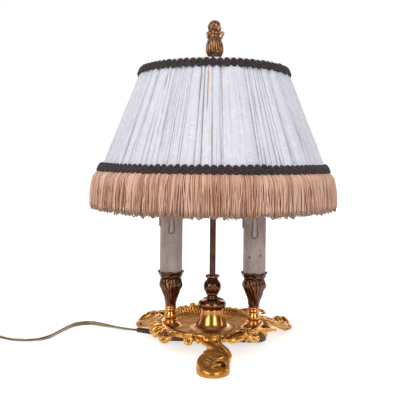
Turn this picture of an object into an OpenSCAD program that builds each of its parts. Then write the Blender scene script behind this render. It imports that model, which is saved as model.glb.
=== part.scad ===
// Two-light bouillotte table lamp: gilt tripod base, two candle lights, and a round gathered
// shade that slides and turns on the middle rod. Millimetres, +Z up, front at -Y, and the
// origin on the table under the rod.

/* [Base] */
// Radius of the circle that the three feet reach
foot_reach = 117; // [114:0.5:120]
// Height of the dish floor's underside above the table
dish_bottom = 16; // [15:0.5:18]
// Thickness of the dish floor
dish_floor = 3; // [2:0.5:4]
// Height of the rim above the dish floor
rim_rise = 9; // [6:0.5:10]
// Radius of the dish's rolled rim
dish_r = 62; // [60:0.5:64]

/* [Middle column] */
// Diameter of the rod that carries the shade
rod_d = 7.3; // [6:0.1:8]
// Height of the top of the rod
rod_top = 352; // [340:1:356]
// Height of the tip of the finial
lamp_h = 387; // [380:1:400]

/* [Candle lights] */
// Distance of each candle axis from the rod
candle_x = 50; // [46:0.5:54]
// Outside diameter of a candle sleeve
sleeve_d = 27; // [26:0.5:28]
// Bore of a candle sleeve
sleeve_bore = 24.2; // [24:0.1:25]
// Height of the top of the sleeves
sleeve_top = 183; // [175:1:190]
// Outside diameter of the threaded candle tubes
tube_d = 10; // [9:0.1:10]
// Largest diameter of a bulb
bulb_d = 35; // [30:1:37]

/* [Shade] */
// Outside radius of the cloth at its lower edge
cloth_low_r = 131.7; // [128:0.1:134]
// Outside radius of the cloth at its upper edge
cloth_high_r = 84.7; // [82:0.1:88]
// Height of the lower edge of the cloth
cloth_low_z = 207; // [203:1:210]
// Height of the upper edge of the cloth
cloth_high_z = 328; // [324:1:332]
// Outside radius of the fringe near its lower edge
fringe_r = 145.5; // [142:0.5:148]
// Height of the lower edge of the fringe
fringe_low_z = 164; // [160:1:168]

/* [Cord] */
// Width of the flat two-core cord
cord_w = 5.4; // [5:0.1:6]
// Thickness of the flat two-core cord
cord_t = 2.8; // [2.4:0.1:3]
// Diameter of a plug pin
pin_d = 4; // [4:0.1:4.8]
// Length of a plug pin
pin_len = 19; // [18:0.5:19]

/* [Hidden] */

$fn = 96;
eps = 0.01;
fit = 0.05;

// Colours
gilt = [0.72, 0.45, 0.14];
polished = [0.85, 0.62, 0.25];
bronze = [0.36, 0.22, 0.13];
wax = [0.72, 0.68, 0.62];
white_cloth = [0.88, 0.88, 0.90];
lining_cloth = [0.80, 0.77, 0.72];
braid_brown = [0.20, 0.13, 0.12];
fringe_peach = [0.85, 0.64, 0.50];
steel = [0.70, 0.70, 0.68];
brass = [0.80, 0.65, 0.30];
black_resin = [0.12, 0.10, 0.09];
cord_amber = [0.62, 0.50, 0.22];
ivory = [0.86, 0.84, 0.78];

// Levels of the base
floor_top = dish_bottom + dish_floor;
rim_top = floor_top + rim_rise;
crest_top = rim_top + 3;
crest_u = 62;
hollow_r_low = 48;
hollow_r_high = 56;
boss_r = 11;
boss_top = floor_top + 5;

// Feet: u runs outwards along a foot's own axis, and the front foot points to -Y
foot_angles = [0, -120, 120];
// The back feet mirror each other, and a leaf joins each of them to the dish's side
foot_sides = [1, -1, 1];
leaf_widths = [0, 18, 25];
volute_u = foot_reach - 17.5;
volute_x = 5;
volute_r = foot_reach - volute_u;
foot_edge_h = 6;
foot_slope = 19;
foot_flat_u = 112;
tongue_u = 46;
tongue_low = 11;
tongue_half_w = 7;
plate_low = 12.4;
pad_r = 3.9;
pad_h = 6;
cover_pad_r = 16;
foot_screw_u = 58;
foot_screw_r = 2;
foot_screw_top = 25.5;

// Middle column
rod_r = rod_d / 2;
rod_bore_r = rod_r + fit;
rod_low = 9.4;
bell_top = 41;
cap_top = 51;
knop_top = 80.6;

// Candle lights
tube_r = tube_d / 2;
tube_bore_r = 3.6;
tube_low = 9.5;
tube_top = 152;
foot_top = 43.6;
seat_z = 82.3;
cup_top = 85.2;
holder_low = 146;
holder_top = 181;
holder_r = 11.4;
holder_floor = 160;
shell_r = 8.4;
cap_r = 7;
cap_low = 164;
cap_high = 181;
bulb_top = 257;
nut_low = 10.5;
nut_high = 15;

// Wires and cover below the dish
cover_low = 5;
cover_wall = 1;
cover_r = 15;
cover_x = 50;
cover_screw_x = 38;
cover_screw_y = 11;
wire_r = 1;
wire_z = 7.4;
wire_gap = 1.4;
block_x = -34;
block_size = [16, 16, 6];

// Carrier of the shade on the rod
collar_low = 320;
collar_top = 333;
collar_r = 8;
spigot_r = 6.3;
spigot_top = 339.5;
hub_r = 10.5;
hub_h = 3;
screw_z = 326.5;
screw_r = 2;
screw_tip_y = 4.1;
wing_y = 15;

// Shade
cloth_lean = (cloth_low_r - cloth_high_r) / (cloth_high_z - cloth_low_z);
function cloth_r(z) = cloth_low_r - cloth_lean * (z - cloth_low_z);
cloth_t = 1.6;
frame_gap = 3.4;
ring_wire_r = 1.5;
rib_wire_r = 1.2;
rib_count = 6;
spider_arms = 3;
arm_start = 8.6;
lining_gap = 5.2;
lining_t = 1;
top_ring_z = cloth_high_z - 3;
low_ring_z = cloth_low_z + 2.5;
braid_t = 2.6;
braid_h = 10;

// Cord: its direction out of the cover, and the in-line switch, coil and plug
grip_angle = 160;
grip_len = 30;
grip_z = 8.4;
switch_x = -292;
switch_y = -12;
switch_size = [60, 24, 18];
rocker_z = 15.6;
rocker_tilt = 7;
coil_x = -328;
coil_y = -72;
coil_in_r = 23.3;
coil_out_r = 34.7;
coil_low = 0.8;
coil_high = 12.6;
tie_w = 8;
tie_t = 0.7;
plug_x = -287;
plug_y = -110.2;
plug_turn = -18;
plug_len = 36;
plug_h = 13.7;
pin_gap = 19;
pin_r = pin_d / 2;

// Route of the cord from its grip to the switch, over the table
lead_route = [
    [-92.55, 15.5, 8.4], [-99.5, 18.8, 7.7], [-108, 25.2, 6.3], [-116.5, 32.2, 5], [-125, 39.5, 4.1],
    [-134, 46, 3.5], [-143, 51.8, 3.1], [-151.5, 56.9, 2.9], [-157, 59.2, 2.8], [-162.5, 60, 2.8],
    [-168.2, 59.3, 2.8], [-173.5, 57.1, 2.8], [-178.1, 53.6, 2.8], [-181.6, 49, 2.8],
    [-184, 43.5, 2.8], [-187, 34, 2.8], [-190, 24, 2.7], [-193, 13.5, 2.6], [-195.4, 5, 2.5],
    [-198.6, -1.8, 2.4], [-203.9, -7.2, 2.2], [-210.5, -10.7, 2.1], [-218.3, -12, 2],
    [-230, -12, 2.1], [-240, -12, 2.8], [-251, -12, 4.8], [-261.7, -12, 7]
];
// Route from the switch round to the coil
tail_route = [
    [-322.3, -12, 7], [-331, -12.2, 5.2], [-340, -14, 3.4], [-348, -18.5, 2.5],
    [-354.5, -25, 2.2], [-358.5, -33, 2.2], [-359.8, -44, 2.2]
];
// Route from the coil to the plug
end_route = [
    [-307, -105.4, 9.8], [-301, -106.5, 8.3], [-294.5, -107.9, 7.2], [-287.1, -110.2, 6.85]
];

// A tube of elliptical section along a list of points: w wide, t thick, with 8 sides
function unit(v) = v / norm(v);
function along(p, i) = unit(p[min(i + 1, len(p) - 1)] - p[max(i - 1, 0)]);
function across(d) = unit(cross([0, 0, 1], d));
function ring_point(p, i, a, w, t) =
    let (d = along(p, i), s = across(d), n = cross(d, s))
    p[i] + s * w / 2 * cos(a) + n * t / 2 * sin(a);

module cord_tube(route) {
    sides = 8;
    count = len(route);
    points = [for (i = [0:count - 1]) for (k = [0:sides - 1])
        ring_point(route, i, k * 360 / sides, cord_w, cord_t)];
    walls = [for (i = [0:count - 2]) for (k = [0:sides - 1])
        [i * sides + k, i * sides + (k + 1) % sides,
         (i + 1) * sides + (k + 1) % sides, (i + 1) * sides + k]];
    first = [[for (k = [sides - 1:-1:0]) k]];
    last = [[for (k = [0:sides - 1]) (count - 1) * sides + k]];
    outward = [for (f = concat(walls, first, last)) [for (i = [len(f) - 1:-1:0]) f[i]]];
    polyhedron(points = points, faces = outward);
}

module rod_between(a, b, r) {
    d = b - a;
    length = norm(d);
    turn = atan2(d[1], d[0]);
    tilt = acos(d[2] / length);
    translate(a)
        rotate([0, tilt, turn])
            cylinder(h = length, r = r, $fn = 32);
}

// ---------------------------------------------------------------- base

// The shells, curls and candle lobes that stand out of the dish's rim
module dish_lobes(inset) {
    for (a = [-30, 90, 210])
        for (side = [-1, 1]) {
            rotate(a + side * 11)
                translate([57, 0])
                    circle(r = 14 - inset);
            rotate(a + side * 36)
                translate([55.5, 0])
                    circle(r = 9 - inset);
        }
    for (side = [-1, 1])
        translate([side * 63, 0])
            circle(r = 13 - inset);
}

module dish_outline() {
    circle(r = dish_r);
    dish_lobes(0);
}

// A saucer with a rolled rim
module dish_bowl() {
    rotate_extrude()
        polygon([
            [0, dish_bottom], [49, dish_bottom], [53, dish_bottom + 1.6], [57.5, dish_bottom + 4.8],
            [dish_r - 0.6, dish_bottom + 7.2], [dish_r, dish_bottom + 8.8], [60.6, rim_top - 0.6],
            [58.4, rim_top], [hollow_r_high, rim_top - 0.8], [52, floor_top + 3],
            [hollow_r_low, floor_top], [0, floor_top]
        ]);
}

module dish_hollow() {
    rotate_extrude()
        polygon([
            [0, floor_top], [hollow_r_low, floor_top], [52, floor_top + 3],
            [hollow_r_high, rim_top - 0.8], [hollow_r_high + 2, crest_top + 1], [0, crest_top + 1]
        ]);
}

// The rim's shells in three steps, the higher crest at the back and the pads over the cover
module dish_rim() {
    difference() {
        translate([0, 0, dish_bottom]) {
            linear_extrude(rim_rise - 2)
                dish_lobes(0);
            linear_extrude(rim_rise + 0.5)
                dish_lobes(1.8);
            linear_extrude(rim_top - dish_bottom)
                dish_lobes(4);
            linear_extrude(crest_top - dish_bottom)
                for (side = [-1, 1])
                    rotate(90 + side * 11)
                        translate([crest_u, 0])
                            circle(r = 6.5);
            linear_extrude(pad_h)
                for (side = [-1, 1])
                    translate([side * candle_x, 0])
                        circle(r = cover_pad_r);
        }
        dish_hollow();
    }
}

module base_plate() {
    color(gilt)
        difference() {
            union() {
                dish_bowl();
                dish_rim();
                for (side = [-1, 1])
                    translate([side * candle_x, 0, dish_bottom])
                        cylinder(h = boss_top - dish_bottom, r = boss_r);
                for (a = foot_angles)
                    rotate(a)
                        translate([0, -foot_screw_u, dish_bottom])
                            cylinder(h = pad_h, r = pad_r);
            }
            cylinder(h = 60, r = rod_bore_r);
            for (side = [-1, 1])
                translate([side * candle_x, 0, dish_bottom - 1])
                    cylinder(h = 20, r = tube_r + fit);
            for (side = [-1, 1])
                translate([side * candle_x, 0, boss_top])
                    cylinder(h = 10, r = boss_r);
            for (a = foot_angles)
                rotate(a)
                    translate([0, -foot_screw_u, dish_bottom - 1])
                        cylinder(h = foot_screw_top - dish_bottom + 1, r = foot_screw_r, $fn = 32);
            for (side = [-1, 1])
                translate([side * cover_screw_x, cover_screw_y, dish_bottom - 1])
                    cylinder(h = 3, r = 1.5, $fn = 32);
        }
}

// Side profile of a foot: a sloping plate from the rim down to its flat end on the table
module foot_side() {
    inner_u = 60;
    inner_top = foot_edge_h + (foot_reach + 1 - inner_u) * tan(foot_slope);
    rotate(-90)
        rotate([90, 0, 0])
            translate([0, 0, -45])
                linear_extrude(90)
                    polygon([
                        [inner_u, plate_low], [77, plate_low], [foot_flat_u, 0], [foot_reach + 1, 0],
                        [foot_reach + 1, foot_edge_h], [inner_u, inner_top]
                    ]);
}

// Plan of a foot's neck and volute, and of the leaf beside a back foot
module foot_plan(leaf_w) {
    translate([volute_x, -volute_u])
        circle(r = volute_r);
    polygon([
        [-11, -60], [-10, -70], [-4, -75], [1, -80], [-6, -85.5], [-10.5, -93], [0, -100],
        [20, -99], [24.2, -91], [23.4, -85.5], [19, -77.8], [13.6, -72], [12, -60]
    ]);
    if (leaf_w > 0)
        polygon([
            [5, -61], [-0.93 * leaf_w, -61], [-leaf_w, -66], [-0.98 * leaf_w, -75],
            [-0.9 * leaf_w, -84], [-0.74 * leaf_w, -93], [-0.5 * leaf_w, -102],
            [-0.2 * leaf_w, -110], [5, -112]
        ]);
}

module foot(angle, side, leaf_w) {
    top_z = foot_edge_h + volute_r * tan(foot_slope);
    color(gilt)
        rotate(angle)
            mirror([side < 0 ? 1 : 0, 0, 0])
                difference() {
                    union() {
                        difference() {
                            intersection() {
                                linear_extrude(40)
                                    foot_plan(leaf_w);
                                foot_side();
                            }
                            translate([0, 0, dish_bottom])
                                rotate(-side * angle)
                                    linear_extrude(30)
                                        dish_outline();
                        }
                        translate([-tongue_half_w, -70, tongue_low])
                            cube([2 * tongue_half_w, 70 - tongue_u, dish_bottom - tongue_low]);
                    }
                    translate([0, -foot_screw_u, 0])
                        cylinder(h = 30, r = foot_screw_r, $fn = 32);
                    translate([volute_x, -volute_u, top_z])
                        rotate([foot_slope, 0, 0])
                            difference() {
                                translate([0, 0, -2.5])
                                    cylinder(h = 12, r = volute_r - 4);
                                translate([3, 2, -4])
                                    cylinder(h = 4, r = 6);
                            }
                }
}

module foot_screws() {
    color(steel)
        for (a = foot_angles)
            rotate(a)
                translate([0, -foot_screw_u, 0]) {
                    translate([0, 0, tongue_low - 2.5])
                        cylinder(h = 2.5, r = 3.5, $fn = 32);
                    translate([0, 0, tongue_low - eps])
                        cylinder(h = foot_screw_top - tongue_low - 0.5, r = foot_screw_r, $fn = 32);
                }
}

module cover_outline(r) {
    square([2 * cover_x, 2 * r], center = true);
    for (side = [-1, 1])
        translate([side * cover_x, 0])
            circle(r = r);
}

module base_cover() {
    color(bronze)
        difference() {
            translate([0, 0, cover_low])
                linear_extrude(dish_bottom - cover_low)
                    cover_outline(cover_r);
            translate([0, 0, cover_low + cover_wall])
                linear_extrude(dish_bottom)
                    cover_outline(cover_r - cover_wall);
            translate([-cover_x, 0, grip_z])
                rotate([0, 90, grip_angle])
                    cylinder(h = 20, r = 3.4, $fn = 32);
            for (side = [-1, 1])
                translate([side * cover_screw_x, cover_screw_y, 0])
                    cylinder(h = 10, r = 1.5, $fn = 32);
        }
}

module cover_screws() {
    color(steel)
        for (side = [-1, 1])
            translate([side * cover_screw_x, cover_screw_y, 0]) {
                translate([0, 0, cover_low - 1.5])
                    cylinder(h = 1.5, r = 2.8, $fn = 32);
                translate([0, 0, cover_low - eps])
                    cylinder(h = 13 - eps, r = 1.5, $fn = 32);
            }
}

// ---------------------------------------------------------------- middle column

module bell() {
    color(polished)
        rotate_extrude()
            polygon([
                [rod_bore_r, bell_top], [11.4, bell_top], [12, 38.5], [13.2, 34], [15, 29],
                [17.4, 25], [20.6, 22], [24.4, 20.2], [28, 19.4], [28, floor_top],
                [20, floor_top], [15, 23.5],
                [12, 31], [9.6, bell_top - 2.5], [rod_bore_r, bell_top - 2.5]
            ]);
}

module bell_cap() {
    color(bronze)
        rotate_extrude()
            polygon([
                [rod_bore_r, bell_top], [12.4, bell_top], [15, 43], [16.3, 45.4], [16, 47.6],
                [14.2, 49.6], [10.4, cap_top], [rod_bore_r, cap_top]
            ]);
}

module column_knop() {
    color(bronze)
        rotate_extrude()
            polygon([
                [rod_bore_r, cap_top], [6.2, cap_top], [6.9, 52.4], [6.9, 54.4], [6.1, 55.8],
                [6.3, 57.6], [7.4, 60], [9.5, 63], [10.4, 66.8], [9.5, 71], [7.4, 74.6], [6.2, 76.6],
                [7.6, 78], [8.5, 79.2], [8.2, knop_top], [rod_bore_r, knop_top]
            ]);
}

module stem_rod() {
    color(bronze)
        translate([0, 0, rod_low])
            cylinder(h = rod_top - rod_low, r = rod_r);
}

module rod_nut() {
    color(steel)
        difference() {
            translate([0, 0, nut_low])
                cylinder(h = nut_high - nut_low, r = 7.5, $fn = 6);
            cylinder(h = 30, r = rod_r);
        }
}

module finial() {
    color(bronze)
        rotate_extrude()
            polygon([
                [rod_r, 341], [6, 341], [8.2, 343], [10.2, 347.5], [10.8, 352.5], [9.8, 358],
                [7.6, 363.5],
                [6.4, 367.5], [7.6, 369.6], [7.4, 371.4], [5.6, 372.6], [6.9, 375.4], [7.6, 379],
                [6.6, 382.4], [3.6, 385], [0, lamp_h], [0, rod_top], [rod_r, rod_top]
            ]);
}

// ---------------------------------------------------------------- candle lights

module candle_foot(side) {
    color(polished)
        translate([side * candle_x, 0, 0])
            rotate_extrude()
                polygon([
                    [tube_r + fit, boss_top], [10.2, boss_top], [9.2, 24.9], [8.4, 25.3], [8.4, 26.7],
                    [6.7, 27.4], [7.2, 29.4], [7.4, 31.2], [7.1, 33], [6.4, 34.8], [5.9, 36.2],
                    [5.9, 37.2], [6.9, 38.6], [7.1, 39.8], [6.5, 41], [7.1, 42.2], [7, foot_top],
                    [tube_r + fit, foot_top]
                ]);
}

module candle_cup(side) {
    color(bronze)
        translate([side * candle_x, 0, 0])
            rotate_extrude()
                polygon([
                    [tube_r + fit, foot_top], [6.4, foot_top], [6.9, 48], [8.3, 54], [10.7, 61],
                    [13, 66], [13.6, 69.5], [13.2, 73], [12.4, 76.4], [12.4, 78.6], [14, 81],
                    [15.5, 83.6], [15.5, cup_top], [sleeve_d / 2 + fit, cup_top],
                    [sleeve_d / 2 + fit, seat_z], [tube_r + fit, seat_z]
                ]);
}

module candle_tube(side) {
    color(steel)
        translate([side * candle_x, 0, tube_low])
            difference() {
                cylinder(h = tube_top - tube_low, r = tube_r);
                translate([0, 0, -1])
                    cylinder(h = tube_top - tube_low + 2, r = tube_bore_r);
            }
}

module tube_nuts() {
    color(steel)
        for (side = [-1, 1])
            translate([side * candle_x, 0, 0])
                difference() {
                    translate([0, 0, nut_low])
                        cylinder(h = nut_high - nut_low, r = 8, $fn = 6);
                    cylinder(h = 30, r = tube_r);
                }
}

// The rod's and the candle tubes' washers, which are all one size outside
module washer(x, hole_r) {
    translate([x, 0, nut_high])
        difference() {
            cylinder(h = dish_bottom - nut_high, r = 9);
            translate([0, 0, -1])
                cylinder(h = 10, r = hole_r + fit);
        }
}

module washers() {
    color(steel) {
        washer(0, rod_r);
        washer(-candle_x, tube_r);
        washer(candle_x, tube_r);
    }
}

module sleeve(side) {
    color(wax)
        translate([side * candle_x, 0, seat_z])
            difference() {
                cylinder(h = sleeve_top - seat_z, r = sleeve_d / 2);
                translate([0, 0, -1])
                    cylinder(h = sleeve_top - seat_z + 2, r = sleeve_bore / 2);
            }
}

module holder_body(side) {
    color(black_resin)
        translate([side * candle_x, 0, 0])
            difference() {
                translate([0, 0, holder_low])
                    cylinder(h = holder_top - holder_low, r = holder_r);
                translate([0, 0, holder_floor])
                    cylinder(h = 30, r = shell_r);
                translate([0, 0, holder_low - 1])
                    cylinder(h = tube_top - holder_low + 1, r = tube_r);
                translate([0, 0, holder_low])
                    cylinder(h = 30, r = 2.8, $fn = 32);
            }
}

module holder_shell(side) {
    color(brass)
        translate([side * candle_x, 0, holder_floor])
            difference() {
                cylinder(h = holder_top - holder_floor, r = shell_r);
                translate([0, 0, -1])
                    cylinder(h = 30, r = cap_r + 0.15);
            }
}

module holder_contacts() {
    color(brass)
        for (side = [-1, 1])
            translate([side * candle_x, 0, holder_floor])
                cylinder(h = 1.5, r = 4, $fn = 32);
}

module bulb_cap(side) {
    color(steel)
        translate([side * candle_x, 0, 0]) {
            translate([0, 0, holder_floor + 1.5])
                cylinder(h = cap_low - holder_floor - 1.5 + eps, r = 3.2, $fn = 32);
            translate([0, 0, cap_low])
                cylinder(h = cap_high - cap_low, r = cap_r);
        }
}

module bulb_glass(side) {
    r = bulb_d / 2;
    color([0.95, 0.93, 0.88, 0.6])
        translate([side * candle_x, 0, 0])
            rotate_extrude()
                polygon([
                    [6.2, cap_high], [7.6, cap_high], [8.6, 188], [11.8, 196], [15.4, 205],
                    [r, 215], [r - 0.6, 223], [14.6, 233], [10.6, 243], [6, 251.5], [2, 256],
                    [0, bulb_top], [0, bulb_top - 1], [5.2, 250.5], [9.8, 242.4], [13.7, 232.7],
                    [r - 1.5, 222.8], [r - 0.9, 215.2], [14.6, 205.4], [11, 196.4], [7.8, 188.4]
                ]);
}

// Two single wires from a lampholder down its tube and along to the terminal block
module wires(side, block_end, block_y) {
    color([0.75, 0.70, 0.60])
        for (lane = [-1, 1]) {
            top = [side * candle_x, lane * wire_gap, holder_floor - 0.1];
            elbow = [side * candle_x, lane * wire_gap, wire_z];
            union() {
                rod_between(elbow, top, wire_r);
                translate(elbow)
                    sphere(r = wire_r, $fn = 32);
                rod_between(elbow, [block_end, block_y + lane * wire_gap, wire_z], wire_r);
            }
        }
}

module terminal_block() {
    color(ivory)
        translate([block_x, -block_size[1] / 2, cover_low + cover_wall])
            cube(block_size);
}

// ---------------------------------------------------------------- carrier and shade

module carrier_collar() {
    color(brass)
        difference() {
            union() {
                translate([0, 0, collar_low])
                    cylinder(h = collar_top - collar_low, r = collar_r);
                translate([0, 0, collar_low])
                    cylinder(h = spigot_top - collar_low, r = spigot_r);
            }
            translate([0, 0, collar_low - 1])
                cylinder(h = 40, r = rod_bore_r);
            translate([0, 0, screw_z])
                rotate([-90, 0, 0])
                    cylinder(h = 20, r = screw_r + fit, $fn = 48);
        }
}

module carrier_nut() {
    color(brass)
        difference() {
            translate([0, 0, collar_top + hub_h + 0.1])
                cylinder(h = 3.2, r = 8);
            translate([0, 0, collar_top])
                cylinder(h = 20, r = spigot_r);
        }
}

module thumbscrew() {
    color(brass)
        translate([0, 0, screw_z])
            rotate([-90, 0, 0]) {
                translate([0, 0, screw_tip_y])
                    cylinder(h = wing_y - screw_tip_y, r = screw_r, $fn = 48);
                translate([0, 0, wing_y - 5])
                    cylinder(h = 5, r = 3.4, $fn = 48);
                translate([-5.5, -1.2, wing_y])
                    cube([11, 2.4, 8]);
            }
}

module wire_ring(z, r) {
    translate([0, 0, z])
        rotate_extrude()
            translate([r, 0])
                circle(r = ring_wire_r, $fn = 32);
}

module shade_top_ring() {
    color(steel)
        wire_ring(top_ring_z, cloth_r(top_ring_z) - frame_gap);
}

// Hub with arms that are welded to the top ring
module shade_spider() {
    ring_r = cloth_r(top_ring_z) - frame_gap;
    color(steel)
        difference() {
            union() {
                translate([0, 0, collar_top])
                    cylinder(h = hub_h, r = hub_r);
                for (k = [0:spider_arms - 1])
                    rotate(-90 + k * 360 / spider_arms)
                        rod_between([arm_start, 0, collar_top + hub_h / 2], [ring_r, 0, top_ring_z], 1.4);
            }
            translate([0, 0, collar_top - 1])
                cylinder(h = 10, r = spigot_r + fit);
            wire_ring(top_ring_z, ring_r);
        }
}

module shade_bottom_ring() {
    color(steel)
        wire_ring(low_ring_z, cloth_r(low_ring_z) - frame_gap);
}

module shade_ribs() {
    low = [cloth_r(low_ring_z) - frame_gap, 0, low_ring_z];
    high = [cloth_r(top_ring_z) - frame_gap, 0, top_ring_z];
    color(steel)
        difference() {
            for (k = [0:rib_count - 1])
                rotate(k * 360 / rib_count)
                    rod_between(low, high, rib_wire_r);
            wire_ring(low_ring_z, low[0]);
            wire_ring(top_ring_z, high[0]);
        }
}

// A closed cone shell whose outside lies a depth inside the cloth's outside
module cone_skin(depth, t, z0, z1) {
    rotate_extrude($fn = 180)
        polygon([
            [cloth_r(z0) - depth, z0], [cloth_r(z1) - depth, z1],
            [cloth_r(z1) - depth - t, z1], [cloth_r(z0) - depth - t, z0]
        ]);
}

module shade_cover() {
    color(white_cloth)
        cone_skin(0, cloth_t, cloth_low_z, cloth_high_z);
}

module shade_lining() {
    color(lining_cloth)
        cone_skin(lining_gap, lining_t, cloth_low_z + 1, cloth_high_z - 6);
}

module top_braid() {
    color(braid_brown)
        cone_skin(-braid_t - 0.1, braid_t, cloth_high_z - braid_h, cloth_high_z);
}

// The lower braid flares out over the heading of the fringe
module bottom_braid() {
    z0 = cloth_low_z;
    z1 = cloth_low_z + braid_h - 1;
    color(braid_brown)
        rotate_extrude($fn = 180)
            polygon([
                [cloth_r(z1) + 0.1, z1], [cloth_r(z1) + braid_t, z1], [137, z0], [cloth_r(z0) + 0.1, z0]
            ]);
}

module fringe() {
    z0 = fringe_low_z;
    z1 = cloth_low_z - 0.3;
    color(fringe_peach)
        rotate_extrude($fn = 180)
            polygon([
                [132, z1], [137.5, z1], [141, z1 - 3], [143.2, z1 - 9], [144.6, z1 - 22],
                [fringe_r, z0 + 4], [fringe_r - 1, z0], [139, z0], [139.4, z1 - 22],
                [138, z1 - 10], [134.5, z1 - 4]
            ]);
}

// ---------------------------------------------------------------- cord

// Z runs outwards along the grip from the middle of the cover's round end
module grip_place() {
    translate([-cover_x, 0, grip_z])
        rotate([0, 90, grip_angle])
            children();
}

module cord_grip() {
    color(black_resin)
        grip_place() {
            translate([0, 0, cover_r - cover_wall - 1.4])
                cylinder(h = 1.2, r = 3.9, $fn = 32);
            translate([0, 0, cover_r - cover_wall - 0.3])
                cylinder(h = 1.5 + eps, r = 3.35, $fn = 32);
            translate([0, 0, cover_r + 0.2])
                cylinder(h = grip_len - 0.2, r1 = 3.35, r2 = 2.9, $fn = 32);
        }
}

// The end of the cord inside the cover, from the grip to the terminal block
module cord_inner() {
    back = cover_r - cover_wall - 0.8;
    color(cord_amber)
        difference() {
            rod_between(
                [-cover_x + back * cos(grip_angle), back * sin(grip_angle), grip_z],
                [block_x, 6.4, wire_z], cord_t / 2
            );
            grip_place()
                translate([0, 0, cover_r - cover_wall - 1.4])
                    cylinder(h = 4, r = 3.9, $fn = 32);
        }
}

module cord_lead() {
    color(cord_amber)
        cord_tube(lead_route);
}

module cord_tail() {
    color(cord_amber)
        cord_tube(tail_route);
}

module cord_end() {
    color(cord_amber)
        cord_tube(end_route);
}

module cord_coil() {
    color(cord_amber)
        translate([coil_x, coil_y, 0])
            rotate_extrude()
                polygon([
                    [coil_in_r, coil_low], [coil_out_r, coil_low], [coil_out_r, coil_high],
                    [coil_in_r, coil_high]
                ]);
}

module coil_tie() {
    mid = (coil_in_r + coil_out_r) / 2;
    deep = coil_out_r - coil_in_r;
    tall = coil_high - coil_low;
    color(black_resin)
        translate([coil_x + mid, coil_y, coil_low + tall / 2])
            difference() {
                cube([deep + 2 * tie_t + 0.6, tie_w, tall + 2 * tie_t], center = true);
                cube([deep + 0.6, tie_w + 2, tall], center = true);
            }
}

// Plan of the switch housing, with cut corners towards the cord
module switch_plan(inset) {
    x = switch_size[0] / 2 - inset;
    y = switch_size[1] / 2 - inset;
    polygon([
        [-x, -y + 7], [-x + 10, -y], [x - 10, -y], [x, -y + 7],
        [x, y - 7], [x - 10, y], [-x + 10, y], [-x, y - 7]
    ]);
}

module switch_place() {
    translate([switch_x, switch_y, 0])
        children();
}

module switch_lower() {
    half = switch_size[2] / 2;
    color(ivory)
        switch_place()
            difference() {
                linear_extrude(half)
                    switch_plan(0);
                translate([0, 0, 2])
                    linear_extrude(half)
                        switch_plan(3);
            }
}

module switch_upper() {
    half = switch_size[2] / 2;
    color(ivory)
        switch_place()
            difference() {
                translate([0, 0, half])
                    linear_extrude(half)
                        switch_plan(0);
                translate([0, 0, half - 1])
                    linear_extrude(3)
                        switch_plan(3);
                translate([-8.6, -5.6, half])
                    cube([17.2, 11.2, half + 1]);
                translate([0, 0, rocker_z])
                    rotate([90, 0, 0])
                        cylinder(h = 16, r = 1 + fit, center = true, $fn = 32);
            }
}

module switch_contacts() {
    color(brass)
        switch_place()
            for (x = [-17, 17])
                for (y = [-4, 4])
                    translate([x - 3.5, y - 2, 2])
                        cube([7, 4, 5]);
}

module switch_rocker() {
    color(black_resin)
        switch_place()
            translate([0, 0, rocker_z])
                rotate([0, rocker_tilt, 0])
                    union() {
                        rotate([90, 0, 0])
                            linear_extrude(10.4, center = true)
                                polygon([
                                    [-7.6, -1], [-7.6, 3.2], [0, 2], [7.6, 3.2], [7.6, -1],
                                    [3.4, -4.6], [-3.4, -4.6]
                                ]);
                        rotate([90, 0, 0])
                            cylinder(h = 15.6, r = 1, center = true, $fn = 32);
                    }
}

// X runs along the plug from the cord's end to the pins
module plug_place() {
    translate([plug_x, plug_y, 0])
        rotate(plug_turn)
            children();
}

module plug_body() {
    color(ivory)
        plug_place()
            linear_extrude(plug_h)
                polygon([
                    [0, -5], [0, 5], [12, 10], [26, 17.6], [plug_len, 17.6],
                    [plug_len, -17.6], [26, -17.6], [12, -10]
                ]);
}

module plug_pins() {
    color(steel)
        plug_place()
            for (side = [-1, 1])
                translate([plug_len, side * pin_gap / 2, plug_h / 2])
                    rotate([0, 90, 0])
                        cylinder(h = pin_len, r = pin_r, $fn = 48);
}

left = -1;
right = 1;

base_plate();
foot(foot_angles[0], foot_sides[0], leaf_widths[0]);  // foot_front
foot(foot_angles[1], foot_sides[1], leaf_widths[1]);  // foot_left
foot(foot_angles[2], foot_sides[2], leaf_widths[2]);  // foot_right
foot_screws();
base_cover();
cover_screws();
bell();
bell_cap();
column_knop();
stem_rod();
rod_nut();
washers();
candle_foot(left);  // candle_foot_left
candle_foot(right);  // candle_foot_right
candle_cup(left);  // candle_cup_left
candle_cup(right);  // candle_cup_right
candle_tube(left);  // candle_tube_left
candle_tube(right);  // candle_tube_right
tube_nuts();
holder_body(left);  // holder_body_left
holder_body(right);  // holder_body_right
holder_shell(left);  // holder_shell_left
holder_shell(right);  // holder_shell_right
holder_contacts();
sleeve(left);  // sleeve_left
sleeve(right);  // sleeve_right
bulb_cap(left);  // bulb_cap_left
bulb_cap(right);  // bulb_cap_right
bulb_glass(left);  // bulb_glass_left
bulb_glass(right);  // bulb_glass_right
wires(left, block_x, -4.5);  // wires_left
wires(right, block_x + block_size[0], 0);  // wires_right
terminal_block();
carrier_collar();
carrier_nut();
thumbscrew();
shade_top_ring();
shade_spider();
shade_bottom_ring();
shade_ribs();
shade_cover();
shade_lining();
top_braid();
bottom_braid();
fringe();
finial();
cord_grip();
cord_inner();
cord_lead();
switch_lower();
switch_upper();
switch_contacts();
switch_rocker();
cord_tail();
cord_coil();
coil_tie();
cord_end();
plug_body();
plug_pins();
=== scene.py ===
"""Looks of the two-light bouillotte table lamp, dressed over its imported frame."""

import logging
from dataclasses import dataclass
from enum import Enum
from functools import cache
from math import copysign, cos, pi, radians, sin, sqrt, tan
from typing import Callable, Sequence

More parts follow.
